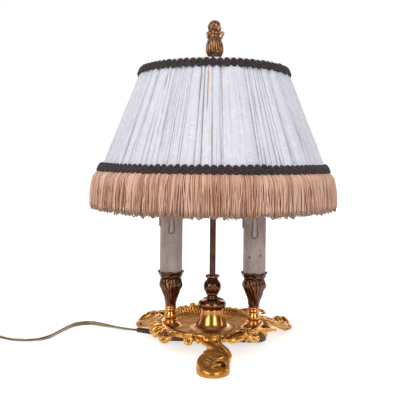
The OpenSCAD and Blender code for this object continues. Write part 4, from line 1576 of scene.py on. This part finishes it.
    def build(self) -> list[Object]:
        """Build and dress the light."""
        for node, slot in (("candle_tube", Slot.steel), ("holder_body", Slot.black_resin),
                ("holder_shell", Slot.contact_brass), ("bulb_cap", Slot.bulb_metal),
                ("wires", Slot.wire_jacket)):
            dress(slot, f"{node}_{self.name}")
        return [self.foot(), self.cup(), self.sleeve(), self.bulb()]


# Shade


@dataclass(frozen=True)
class Shade:
    """The gathered shade with its braids and fringe."""

    low_r: float = 131.7  # radius of the cloth at its lower edge
    high_r: float = 84.7  # radius of the cloth at its upper edge
    low_z: float = 207.0  # height of the lower edge
    high_z: float = 328.0  # height of the upper edge
    pleats: int = 122  # number of main gathers
    creases: int = 420  # number of finer folds over them
    strands_in_front: int = 960  # strands in the fringe's outer row
    strands_behind: int = 860  # strands in the fringe's inner row
    tints: int = 12  # number of shades of its strands
    crumples: int = 260  # number of short creases across the gathers
    joint: float = -77.0  # direction in degrees where the lower braid's ends overlap
    # Brown streaks: direction in degrees, lower and upper height, half-width
    streaks: tuple[tuple[float, float, float, float], ...] = (
        (-121.4, 296, 310, 0.7), (-120.3, 298, 311, 0.5), (-91.8, 272, 315, 0.7), (-95.9, 302, 311, 0.5),
        (-88.9, 234, 258, 0.7), (-81.6, 314, 318, 0.8), (-64.0, 262, 290, 0.5), (-140.5, 225, 262, 0.5),
        (20.0, 250, 300, 0.8), (74.0, 230, 262, 0.7), (131.0, 280, 312, 0.6), (-166.0, 240, 270, 0.6))

    def radius(self, z: Array | float) -> Array | float:
        """Radius of the cloth at a height."""
        return self.low_r - (self.low_r - self.high_r) * (z - self.low_z) / (self.high_z - self.low_z)

    def gathers(self, angle: Array, share: Array) -> tuple[Array, Array, Array]:
        """Height, fold and stain of the gathers.

        Args:
            angle: direction in radians, from 0 to 2 pi.
            share: height on the cloth, from 0 at its lower edge to 1.

        Returns:
            How far the cloth stands out, how deep in a fold it is, and where it is stained.
        """
        rng = np.random.default_rng(41)
        main, index, t = self.folds(rng, angle, share, self.pleats, 1.8)
        size = rng.uniform(0.45, 1.0, self.pleats)[index]
        dark = rng.uniform(0.25, 1.0, self.pleats)[index]
        dark = dark * (0.72 + 0.28 * np.sin(share * 5 + index * 1.7))
        tall = size * (1 - np.abs(2 * t - 1) ** 2.6) * np.clip(main / 5, 0.35, 1.4)
        edge = np.minimum(t, 1 - t) * main
        # valleys and fine creases darken the cloth through the fold value: dust and painted shade
        valley = dark * np.exp(-((edge / 0.62) ** 2))
        small, which, s = self.folds(rng, angle, share, self.creases, 1.2)
        reach = rng.uniform(-0.5, 1.5, self.creases)[which]
        shown = smooth(0.5, 0.1, np.abs(share - reach)) * rng.uniform(0.3, 1.0, self.creases)[which]
        ripple = shown * (1 - np.abs(2 * s - 1) ** 2)
        crease = 0.55 * shown * np.exp(-((np.minimum(s, 1 - s) * small / 0.4) ** 2))
        marks = np.zeros_like(angle)
        for at, low, high, wide in self.streaks:
            turn = turn_from(angle, radians(at))
            z = self.low_z + share * (self.high_z - self.low_z)
            inside = smooth(low - 4, low + 3, z) * smooth(high + 4, high - 3, z)
            marks = np.maximum(marks, inside * swell(turn * self.radius(z), 0, wide))
        return 2.3 * tall + 0.42 * ripple, np.maximum(valley, crease), marks

    def folds(self, rng: np.random.Generator, angle: Array, share: Array, count: int,
              even: float) -> tuple[Array, Array, Array]:
        """Divide the cloth into folds of uneven width that lean a little.

        Args:
            rng: the seeded source of their widths.
            angle: direction in radians, from 0 to 2 pi.
            share: height on the cloth, from 0 to 1.
            count: number of folds.
            even: how even their widths are.

        Returns:
            The width in millimetres, the number and the place across it of each point's fold.
        """
        widths = rng.gamma(even, 1.0, count) + 0.45
        ends = np.cumsum(widths) / widths.sum() * 2 * pi
        drift = np.interp(ends, np.linspace(0, 2 * pi, 41), np.append(rng.normal(0, 0.014, 40), 0))
        drift += rng.normal(0, 0.005, count)
        drift[-1] = 0
        lean = np.interp(angle, np.append(0, ends), np.append(0, drift))
        seen = (angle + lean * (1 - share)) % (2 * pi)
        index = np.minimum(np.searchsorted(ends, seen), count - 1)
        start = np.where(index > 0, ends[index - 1], 0)
        wide = ends[index] - start
        return wide * 108, index, np.clip((seen - start) / wide, 0, 1)

    def cloth(self) -> Object:
        """The gathered silk."""
        steps, rows = 2400, 24
        profile = [(float(self.radius(z)), z) for z in np.linspace(self.low_z, self.high_z, rows)]
        mesh = to_mesh(turned(profile, steps, closed=False))
        found: dict[str, Array] = {}

        def gather(p: Array, n: Array) -> Array:
            """Lay the cloth in gathers with creases across them.

            Args:
                p: the points.
                n: their normals; not used.

            Returns:
                The points moved.
            """
            r, angle, z = polar(p)
            angle = angle % (2 * pi)
            share = (z - self.low_z) / (self.high_z - self.low_z)
            out, found["fold"], found["stain"] = self.gathers(angle, share)
            rng = np.random.default_rng(12)
            creases = np.zeros(len(p))
            for _ in range(self.crumples):
                at, z0, tilt = rng.uniform(0, 2 * pi), rng.uniform(0.08, 0.92), rng.normal(0, 7)
                turn = turn_from(angle, at)
                line = (share - z0) * 130 - tilt * turn * 6
                creases += rng.uniform(0.25, 0.8) * swell(turn, 0, rng.uniform(0.03, 0.09)) * swell(line,
                    0, 2.6)
            scale = (r - 1.7 + out + creases * 0.75) / r
            return np.stack([p[:, 0] * scale, p[:, 1] * scale, z], 1)

        chased(mesh, gather)
        store(mesh, "fold", found["fold"])
        store(mesh, "stain", found["stain"])
        self.unrolled(mesh)
        obj = finish_piece("gathered_cloth", mesh, Slot.pleated_cloth, Body.shade, "shade_cover")
        return obj

    def unrolled(self, mesh: Mesh) -> None:
        """Lay the cloth out flat as the UV map, in metres.

        Args:
            mesh: the cloth's mesh, in place.
        """
        layer = mesh.uv_layers.new(name="cloth")
        p = read(mesh.vertices, "co", 3)[read(mesh.loops, "vertex_index", 1, np.int32)]
        _, angle, z = polar(p)
        faces = (angle % (2 * pi)).reshape(-1, 4)
        wraps = (faces.max(1) - faces.min(1)) > pi
        faces[wraps] = np.where(faces[wraps] < pi, faces[wraps] + 2 * pi, faces[wraps])
        uv = np.stack([faces.ravel() * 0.11, z], 1)
        layer.data.foreach_set("uv", uv.astype(np.float32).ravel())

    def lining(self) -> Object:
        """The lining inside the frame."""
        profile = [(float(self.radius(z)) - 5.7, z) for z in np.linspace(self.low_z + 1, self.high_z - 6,
            16)]
        mesh = to_mesh(turned(profile[::-1], 540, closed=False))

        def sag(p: Array, n: Array) -> Array:
            """Let the lining hang in between its seams."""
            r, angle, z = polar(p)
            scale = (r - 0.35 + 0.3 * np.cos(6 * angle) + 0.18 * np.sin(90 * angle + z * 0.05)) / r
            return np.stack([p[:, 0] * scale, p[:, 1] * scale, z], 1)

        chased(mesh, sag)
        mesh.flip_normals()
        self.unrolled(mesh)
        store(mesh, "fold", np.zeros(len(mesh.vertices)))
        obj = finish_piece("lining", mesh, Slot.lining_cloth, Body.shade, "shade_lining")
        return obj

    def braid(self, name: str, base: Callable[[Array], Array], middle: float, periods: int, seed: int,
              lap: bool) -> Object:
        """One gimp braid of plaited threads.

        Args:
            name: the piece's name.
            base: radius of the surface it lies on at a height.
            middle: height of its middle.
            periods: scallops round it.
            seed: which unevenness.
            lap: whether its two ends overlap at the joint.

        Returns:
            The piece.
        """
        per = 26
        count = periods * per
        start = radians(self.joint)
        t = np.arange(count + (per * 2 if lap else 0)) / count
        angle = start + 2 * pi * t
        ends = (smooth(0.0, 0.012, t) - smooth(1.0, 1.012, t)) if lap else np.zeros_like(t)
        lifted = 1 - ends if lap else ends
        uneven = Wobble(seed, 5, 40)(angle)
        made = []
        threads = [(3.9, 1.35, 1.5, 1, 0.0, 0.55), (3.9, 1.35, 1.5, 1, pi, 0.7),
                   (2.3, 1.15, 1.7, 1, 0.5, 0.3), (2.3, 1.15, 1.7, 1, pi + 0.5, 0.45),
                   (1.3, 0.95, 1.3, 3, 0.0, 0.9), (1.3, 0.95, 1.3, 3, pi, 1.0),
                   (0.5, 0.7, 2.3, 4, 0.8, 0.05), (0.5, 0.7, 2.3, 4, pi + 0.8, 0.15)]
        for k, (wide, thick, out, rate, phase, shade) in enumerate(threads):
            wave = 2 * pi * periods * rate * t + phase
            z = middle + wide * np.sin(wave) + 0.35 * uneven + 0.9 * lifted
            r = base(z) + out + 0.6 * np.cos(2 * wave + k) + 1.2 * lifted
            swollen = thick * (1 + 0.1 * np.sin(9 * wave / rate))
            made.append(([list(zip(r * np.cos(angle), r * np.sin(angle), z, swollen))], shade))
        return finish_piece(f"gimp_{name}", yarns(made, not lap), Slot.brown_braid, Body.shade, name)

    def fringe_row(self, name: str, count: int, inner: bool) -> Object:
        """One row of the fringe's looped strands.

        Args:
            name: the piece's name.
            count: number of strands.
            inner: whether it is the row behind.

        Returns:
            The piece.
        """
        rng = np.random.default_rng(73 if inner else 31)
        sway, clump = (Wobble(18, 8, 30), Wobble(29, 30, 80)) if inner else (Wobble(17, 8, 36),
            Wobble(23, 30, 90))
        groups: list[list[Stroke]] = [[] for _ in range(self.tints)]
        back, lean_spread, clumped, bent, thin, fat = (
            (3.2, 0.0025, 0.003, 0.002, 0.7, 0.84) if inner else (0.0, 0.006, 0.007, 0.007, 0.44, 0.6))
        for k in range(count):
            a = 2 * pi * (k + rng.uniform(-0.32, 0.32)) / count
            lean = 0.01 * float(sway(a)) + clumped * float(clump(a)) + rng.normal(0, lean_spread)
            end = 165.9 + 1.3 * sin(a) + rng.normal(0, 1.2) + 1.4 * float(clump(a + 1)) * 0.5
            bulge = rng.uniform(-0.9, 0.9) + 0.4 * float(clump(a + 2))
            bend = rng.normal(0, bent)
            side = rng.choice((-1, 1))
            thick = rng.uniform(thin, fat)
            rows = []
            for r, z, d, t in ((132.2, 207.2, 0, 0.9), (134.4, 206.2, 0, 1), (138.4, 203.4, 0.02, 1),
                    (141.6, 199.4, 0.08, 1), (142.7, 193, 0.2, 1), (143.4, 185.5, 0.4, 1),
                    (143.9, 178, 0.65, 1), (144, 171, 0.85, 1.02), (143.9, end + 1.6, 1, 1.05)):
                wave = bend * sin((205 - z) * 0.13 + k)
                at = a + lean * d + wave * (1 - abs(2 * d - 1))
                rr = r - back + bulge * min(1.0, d * 2.4)
                rows.append([rr * cos(at), rr * sin(at), z, thick * t])
            hook = rng.uniform(1.1, 2.6)
            for d, h, inward in ((0.35, 0.2, 0.4), (1.0, -0.5, 0.9), (1.5, 0.3, 1.3), (1.3, 1.5, 1.6)):
                at = a + lean + side * d * hook / 144
                rr = 143.6 - back + bulge - inward * rng.uniform(-0.3, 1.0)
                rows.append([rr * cos(at), rr * sin(at), end + h * rng.uniform(0.5, 2.0), thick * 0.95])
            groups[int(rng.integers(self.tints))].append(rows)
        # painted shade: the row behind gets slightly darker strands than the front row
        scale, least = (0.9, 0.12) if inner else (1.0, 0.0)
        mesh = yarns([(lines, g / (self.tints - 1) * scale + least) for g, lines in enumerate(groups)])
        store(mesh, "tip", smooth(171.5, 165.5, read(mesh.vertices, "co", 3)[:, 2] / MM))
        nodes = () if inner else ("fringe",)
        return finish_piece(name, mesh, Slot.peach_fringe, Body.shade, *nodes)

    def build(self) -> list[Object]:
        """Build and dress the shade."""
        dress(Slot.frame_wire, "shade_top_ring", "shade_spider", "shade_bottom_ring", "shade_ribs")
        made = [self.cloth(), self.lining()]
        made.append(self.braid("top_braid", lambda z: self.radius(z) + 0.5, 322.2, 38, 3, False))
        made.append(self.braid("bottom_braid", lambda z: np.interp(z, [204, 216], [136.2, 130.2]), 209.7,
                58, 6, True))
        made.append(self.fringe_row("fringe_outer", self.strands_in_front, False))
        made.append(self.fringe_row("fringe_inner", self.strands_behind, True))
        return made


@dataclass(frozen=True)
class Carrier:
    """The collar, nut and thumbscrew that hold the shade on the rod."""

    def build(self) -> None:
        """Dress the carrier's solids."""
        dress(Slot.contact_brass, "carrier_collar", "carrier_nut", "thumbscrew")


@dataclass(frozen=True)
class Underside:
    """The cover, screws, nuts and wiring below the dish."""

    def build(self) -> None:
        """Dress the solids below the dish."""
        dress(Slot.cover_bronze, "base_cover")
        dress(Slot.steel, "foot_screws", "cover_screws", "rod_nut", "washers", "tube_nuts")
        dress(Slot.white_plastic, "terminal_block")
        dress(Slot.contact_brass, "holder_contacts")


# Cord


@dataclass(frozen=True)
class FlatCord:
    """The flat two-core cord, with its switch, coil and plug."""

    width: float = 5.4  # its width
    thick: float = 2.8  # its thickness
    length: float = 1.8  # its whole length in metres
    coil: Pair = (-328.0, -72.0)  # place of the coil's middle
    exit: Point = (-64.1, 5.1, 8.4)  # where it leaves the base cover
    switch: Pair = (-292.0, -12.0)  # place of the switch's middle
    plug_at: Pair = (-287.0, -110.2)  # place of the plug's cord end

    def route(self) -> list[tuple[float, float, float, float]]:
        """Points of the cord's middle line in millimetres, with its tilt in degrees."""
        lead = [(-64.1, 5.1, 8.4, 0), (-78.2, 10.3, 8.4, 0), (-92.55, 15.5, 8.4, 0),
                (-99.5, 18.8, 7.7, 14), (-108, 25.2, 6.3, 32), (-116.5, 32.2, 5, 38),
                (-125, 39.5, 4.1, 42), (-134, 46, 3.5, 52), (-143, 51.8, 3.1, 66),
                (-151.5, 56.9, 2.9, 80), (-157, 59.2, 2.8, 88), (-162.5, 60, 2.8, 90),
                (-168.2, 59.3, 2.8, 90), (-173.5, 57.1, 2.8, 90), (-178.1, 53.6, 2.8, 90),
                (-181.6, 49, 2.8, 88), (-184, 43.5, 2.8, 84), (-187, 34, 2.8, 76), (-190, 24, 2.7, 70),
                (-193, 13.5, 2.6, 66), (-195.4, 5, 2.5, 66), (-198.6, -1.8, 2.4, 62),
                (-203.9, -7.2, 2.2, 46), (-210.5, -10.7, 2.1, 24), (-218.3, -12, 2.0, 6),
                (-230, -12, 2.1, 0), (-240, -12, 2.8, 0), (-251, -12, 4.8, 0), (-261.7, -12, 7, 0),
                (-292, -12, 7, 0), (-322.3, -12, 7, 0), (-331, -12.2, 5.2, 0), (-340, -14, 3.4, 0),
                (-348, -18.5, 2.5, 0), (-354.5, -25, 2.2, 0), (-358.5, -33, 2.2, 0),
                (-359.8, -44, 2.2, 0)]
        cx, cy = self.coil
        turns, steps = [], 28
        lanes, layers = [31.8, 26.2, 26.2, 31.8] * 2, [0, 0, 1, 1, 2, 2, 3, 3]
        for k in range(int(7.25 * steps) + 1):
            t = k / steps
            i = min(int(t), 7)
            j = min(i + 1, 7)
            ease = float(smooth(0.72, 1.0, t - i))
            r = lanes[i] + (lanes[j] - lanes[i]) * ease
            z = 2.2 + 3.0 * (layers[i] + (layers[j] - layers[i]) * ease)
            a = radians(180) + 2 * pi * t
            turns.append((cx + r * cos(a), cy + r * sin(a), z, 0))
        end = [(-320, -104.3, 11.0, 0), (-313, -104.8, 10.6, 0), (-307, -105.4, 9.8, 0),
               (-301, -106.5, 8.3, 0), (-294.5, -107.9, 7.2, 0), (-287.1, -110.2, 6.85, 0),
               (-277, -113.4, 6.85, 0)]
        return lead + turns + end

    def section(self) -> list[Pair]:
        """The cord's section: two round cores side by side."""
        r = self.thick / 2
        gap = self.width / 2 - r
        ring = []
        for k in range(8):
            a = radians(-105 + 30 * k)
            ring.append((gap + r * cos(a), r * sin(a)))
        left = [(-x, -y) for x, y in ring]
        return ring + left

    def swept(self) -> tuple[BMesh, list[Vector]]:
        """Sweep the section along the route.

        Returns:
            The mesh and the middle line it follows.
        """
        rough = self.route()
        fine = flow(rough, 4 * len(rough))
        line = [Vector(p[:3]) for p in fine]
        tilts = [radians(p[3]) for p in fine]
        bm = bmesh.new()
        across = bm.verts.layers.float.new("across")
        along = bm.verts.layers.float.new("along")
        section = self.section()
        last: list[bmesh.types.BMVert] = []
        run = 0.0
        for i, point in enumerate(line):
            ahead = (line[min(i + 1, len(line) - 1)] - line[max(i - 1, 0)]).normalized()
            side = Vector((0, 0, 1)).cross(ahead).normalized()
            up = ahead.cross(side)
            c, s = cos(tilts[i]), sin(tilts[i])
            wide, flat = side * c + up * s, up * c - side * s
            if i:
                run += (point - line[i - 1]).length
            ring = []
            for x, y in section:
                v = bm.verts.new((point + wide * x + flat * y) * MM)
                v[across] = x / (self.width / 2)
                v[along] = run
                ring.append(v)
            if last:
                edges = [bm.edges.get((a, b)) or bm.edges.new((a, b))
                         for rows in (last, ring) for a, b in zip(rows, rows[1:] + rows[:1])]
                bmesh.ops.bridge_loops(bm, edges=list(dict.fromkeys(edges)))
            else:
                bm.faces.new(ring)
            last = ring
        bm.faces.new(last)
        bmesh.ops.recalc_face_normals(bm, faces=bm.faces)
        return bm, line

    def cable(self, pieces: Sequence[Object | str]) -> Object:
        """Args:
            pieces: the solids and pieces that are on the cord; not used.

        Returns:
            The cord.
        """
        bm, line = self.swept()
        obj = finish_piece("flat_cord", to_mesh(bm), Slot.clear_cord, Body.lamp,
                "cord_lead", "cord_tail", "cord_coil", "cord_end")
        return obj

    def grip(self) -> Object:
        """The rubber grip where the cord leaves the base."""
        rings = [(0.0, -1.5), (3.9, -1.5), (3.9, -0.5), (3.35, -0.3), (3.35, 1.0)]
        for k in range(7):
            z = 2.6 + 3.6 * k
            r = 3.35 - 0.07 * k
            rings += [(r + 0.1, z), (r + 0.1, z + 2.1), (r - 0.65, z + 2.4), (r - 0.65, z + 3.3)]
        rings += [(3.0, 27.9), (2.95, 30), (2.3, 30.6), (0.0, 30.6)]
        bm = turned(rings, 40, closed=False)
        bevel(bm, [e for e in bm.edges if e.calc_face_angle(0) > 0.5], 0.12, 2)
        a = radians(160)
        place = (Matrix.Translation(Vector((-50 + 14.6 * cos(a), 14.6 * sin(a), 8.4)) * MM)
                 @ Matrix.Rotation(a, 4, "Z") @ Matrix.Rotation(radians(90), 4, "Y"))
        bmesh.ops.transform(bm, matrix=place, verts=bm.verts)
        return finish_piece("grip", to_mesh(bm), Slot.black_rubber, Body.lamp, "cord_grip")

    def housing(self, name: str, low: float, high: float, node: str) -> Object:
        """Half of the switch's housing.

        Args:
            name: the piece's name.
            low: its lower height.
            high: its upper height.
            node: the solid it stands for.

        Returns:
            The piece.
        """
        x, y = 30.0, 12.0
        plan = [(-x, -4), (-x + 3, -8), (-x + 11, -y), (x - 11, -y), (x - 3, -8), (x, -4),
                (x, 4), (x - 3, 8), (x - 11, y), (-x + 11, y), (-x + 3, 8), (-x, 4)]
        bm = prism([(px + self.switch[0], py + self.switch[1]) for px, py in plan], low, high)
        upper = high > 12
        rim, seam = (high, low) if upper else (low, high)
        for level, offset, segments in ((rim, 2.0, 4), (seam, 0.35, 1)):
            edges = [e for e in bm.edges if all(abs(v.co.z / MM - level) < 0.01 for v in e.verts)]
            bevel(bm, edges, offset, segments, clamp=level == rim)
        if upper:
            self.open_window(bm)
        bm.normal_update()
        return finish_piece(name, to_mesh(bm), Slot.white_plastic, Body.lamp, node)

    def open_window(self, bm: BMesh) -> None:
        """Sink the rocker's window into the top face.

        Args:
            bm: the switch's upper half.
        """
        x, y = self.switch
        flat = max((f for f in bm.faces if f.normal.z > 0.9), key=lambda f: f.calc_area())
        bmesh.ops.inset_individual(bm, faces=[flat], thickness=1.4 * MM, depth=0)
        for v in flat.verts:
            v.co.x = (x + copysign(8.6, v.co.x / MM - x)) * MM
            v.co.y = (y + copysign(5.6, v.co.y / MM - y)) * MM
        bmesh.ops.remove_doubles(bm, verts=bm.verts, dist=1e-5)
        flat = max((f for f in bm.faces if f.normal.z > 0.9
                    and all(abs(v.co.x / MM - x) < 8.7 for v in f.verts)), key=lambda f: f.calc_area())
        sunk = bmesh.ops.extrude_discrete_faces(bm, faces=[flat])["faces"]
        sunk_verts = list({v for f in sunk for v in f.verts})
        bmesh.ops.translate(bm, verts=sunk_verts, vec=(0, 0, -8 * MM))
        bmesh.ops.bridge_loops(bm, edges=[e for e in bm.edges if len(e.link_faces) == 1])

    def plug(self) -> Object:
        """The plug's moulded body."""
        plan = [(0, 5), (12, 10), (26, 17.6), (36, 17.6), (36, -17.6), (26, -17.6), (12, -10), (0, -5)]
        bm = prism(plan, 0.05, 13.65)
        bevel(bm, list(bm.edges), 1.8, 4, clamp=True)
        place = Matrix.Translation(Vector((*self.plug_at, 0)) * MM) @ Matrix.Rotation(radians(-18), 4, "Z")
        bmesh.ops.transform(bm, matrix=place, verts=bm.verts)
        return finish_piece("plug", to_mesh(bm), Slot.dark_plastic, Body.lamp, "plug_body")

    def build(self) -> list[Object]:
        """Build and dress the cord and what is on it."""
        lower = self.housing("switch_base", 0.05, 8.95, "switch_lower")
        upper = self.housing("switch_cover", 9.05, 18.0, "switch_upper")
        grip, plug = self.grip(), self.plug()
        dress(Slot.contact_brass, "switch_contacts")
        dress(Slot.dark_plastic, "switch_rocker")
        dress(Slot.black_rubber, "coil_tie")
        dress(Slot.pin_metal, "plug_pins")
        dress(Slot.clear_cord, "cord_inner")
        cable = self.cable([grip, lower, upper, plug, "plug_pins", "switch_rocker", "coil_tie"])
        return [cable, grip, lower, upper, plug]


# Studio


@dataclass(frozen=True)
class Studio:
    """Camera, lights, floor and background."""

    distance: float = 0.7  # distance of the camera from the lamp's axis
    height: float = 0.2222  # height of the camera
    azimuth: float = 2.0  # how far it stands to the right of straight in front, in degrees
    roll: float = 0.55  # its roll in degrees
    lens: float = 52.47  # its focal length for a 36 mm sensor
    shift: Pair = (-0.034, -0.1075)  # how far its picture is shifted sideways and up

    def camera(self) -> None:
        """Place the camera."""
        data = bpy.data.cameras.new("camera")
        data.lens = self.lens
        data.sensor_width = 36
        data.shift_x, data.shift_y = self.shift
        data.clip_start = 0.01
        obj = new_object("camera", data)
        a = radians(self.azimuth)
        place = Matrix.Translation((self.distance * sin(a), -self.distance * cos(a), self.height))
        obj.matrix_world = (place @ Matrix.Rotation(a, 4, "Z") @ Matrix.Rotation(radians(90), 4, "X")
                @ Matrix.Rotation(radians(self.roll), 4, "Z"))
        bpy.context.scene.camera = obj

    def lamp(self, name: str, azimuth: float, distance: float, height: float, size: Pair,
             watts: float) -> None:
        """Place a soft light that looks at the lamp.

        Args:
            name: its name.
            azimuth: its direction from straight in front, to the right, in degrees.
            distance: its distance.
            height: its height.
            size: its width and height.
            watts: its power.
        """
        data = bpy.data.lights.new(name, "AREA")
        data.shape = "RECTANGLE"
        data.size, data.size_y = size
        data.energy = watts
        obj = new_object(name, data)
        a = radians(azimuth)
        at = Vector((distance * sin(a), -distance * cos(a), height))
        aim = (Vector((0, 0, 0.15)) - at).to_track_quat("-Z", "Y")
        obj.matrix_world = Matrix.Translation(at) @ aim.to_matrix().to_4x4()

    @staticmethod
    def seen(graph: Graph) -> Socket:
        """1 for rays from the camera, through glass and off mirrors, else 0."""
        path = graph.add("LightPath", {}).outputs
        straight = graph.math("MAXIMUM", path["Is Camera Ray"], path["Is Transmission Ray"])
        return graph.math("MAXIMUM", straight, path["Is Glossy Ray"])

    def world(self) -> None:
        """White for what looks at it straight, in a mirror or through glass; softer as light."""
        world = bpy.data.worlds.new("studio")
        bpy.context.scene.world = world
        world.use_nodes = True
        graph = Graph(world.node_tree)
        sky = world.node_tree.nodes["Background"]
        graph.fill(sky, {"Color": (1, 1, 1, 1), "Strength": graph.span(self.seen(graph), 0.0, 1.0, 0.64,
            1.0)})

    def floor(self) -> None:
        """A white floor that keeps the lamp's shadow."""
        bm = bmesh.new()
        bmesh.ops.create_grid(bm, x_segments=1, y_segments=1, size=12)
        mesh = to_mesh(bm)
        obj = new_object("floor", mesh)
        material, graph, shader = principled("floor")
        graph.fill(shader, {"Roughness": 1.0, "Specular IOR Level": 0.0,
                "Base Color": (0.72, 0.72, 0.72, 1),
                "Emission Color": (1, 1, 1, 1),
                "Emission Strength": graph.math("MULTIPLY", self.seen(graph), 0.66)})
        mesh.materials.append(material)

    def flats(self) -> None:
        """Dark studio flats with bright gaps, which only polished surfaces see."""
        bm = bmesh.new()
        bmesh.ops.create_cone(bm, segments=96, radius1=2.4, radius2=2.4, depth=3.0, cap_ends=True)
        bmesh.ops.translate(bm, verts=bm.verts, vec=(0, 0, 1.45))
        mesh = to_mesh(bm)
        obj = new_object("flats", mesh)
        material = bpy.data.materials.new("flats")
        material.use_nodes = True
        tree = material.node_tree
        tree.nodes.clear()
        graph = Graph(tree)
        xyz = graph.add("SeparateXYZ", {0: graph.place()}).outputs
        angle = graph.math("ARCTAN2", xyz["X"], graph.math("MULTIPLY", xyz["Y"], -1.0))
        bright: object = 0.0
        for at, wide in ((-0.56, 0.15), (0.44, 0.12), (1.75, 0.16), (2.7, 0.14), (-1.9, 0.16),
                (-2.8, 0.12)):
            off = graph.math("ABSOLUTE", graph.math("SUBTRACT", angle, at))
            bright = graph.math("MAXIMUM", bright, graph.span(off, wide + 0.03, wide))
        tall = graph.math("MULTIPLY", graph.span(xyz["Z"], 0.1, 0.3), graph.span(xyz["Z"], 2.6, 2.3))
        bright = graph.math("MULTIPLY", bright, tall)
        strength = graph.math("ADD", graph.span(bright, 0.0, 1.0, 0.14, 3.0),
                graph.span(xyz["Z"], 2.9, 2.94, 0.0, 0.45))
        glow = graph.add("Emission", {"Color": (1, 0.98, 0.95, 1), "Strength": strength})
        out = graph.add("OutputMaterial", {})
        tree.links.new(glow.outputs[0], out.inputs["Surface"])
        mesh.materials.append(material)
        obj.visible_camera = False
        obj.visible_diffuse = False
        obj.visible_transmission = False
        obj.visible_shadow = False
        obj.visible_volume_scatter = False

    def build(self) -> None:
        """Set up the whole studio."""
        bpy.context.scene.view_settings.view_transform = "Standard"
        self.camera()
        self.world()
        self.floor()
        self.flats()
        self.lamp("window_left", -42, 1.5, 1.0, (0.7, 1.2), 8.5)
        self.lamp("window_right", 30, 1.5, 0.9, (0.6, 1.2), 6.5)
        self.lamp("overhead", 170, 1.2, 1.5, (1.2, 1.0), 4)


# Whole lamp


def main() -> None:
    """Build the studio and the lamp, piece by piece, and report them."""
    logging.basicConfig(level=logging.INFO, format="%(message)s")
    Studio().build()
    log.info("studio ready")
    cord = FlatCord().build()
    log.info("cord: %s", [piece.name for piece in cord])
    Dish().build()
    ScrollFoot().build()
    Column().build()
    left = CandleLight("left", -50.0, 8.0, (Drip(-83.5, 131.5), Drip(-174, 138), Drip(35, 150)),
            ((-92, 121, 1.3), (-120, 126, 1.1), (-70, 133, 0.9)))
    right = CandleLight("right", 50.0, 0.0, (Drip(-92, 127.6), Drip(-178, 137), Drip(62, 146)),
            ((-118, 104, 1.9), (-58, 107, 1.9), (-62, 113, 1.0)))
    for light in (left, right):
        light.build()
        log.info("candle light %s ready", light.name)
    Carrier().build()
    Underside().build()
    Shade().build()
    log.info("shade ready")
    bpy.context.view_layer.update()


if __name__ == "__main__":
    main()
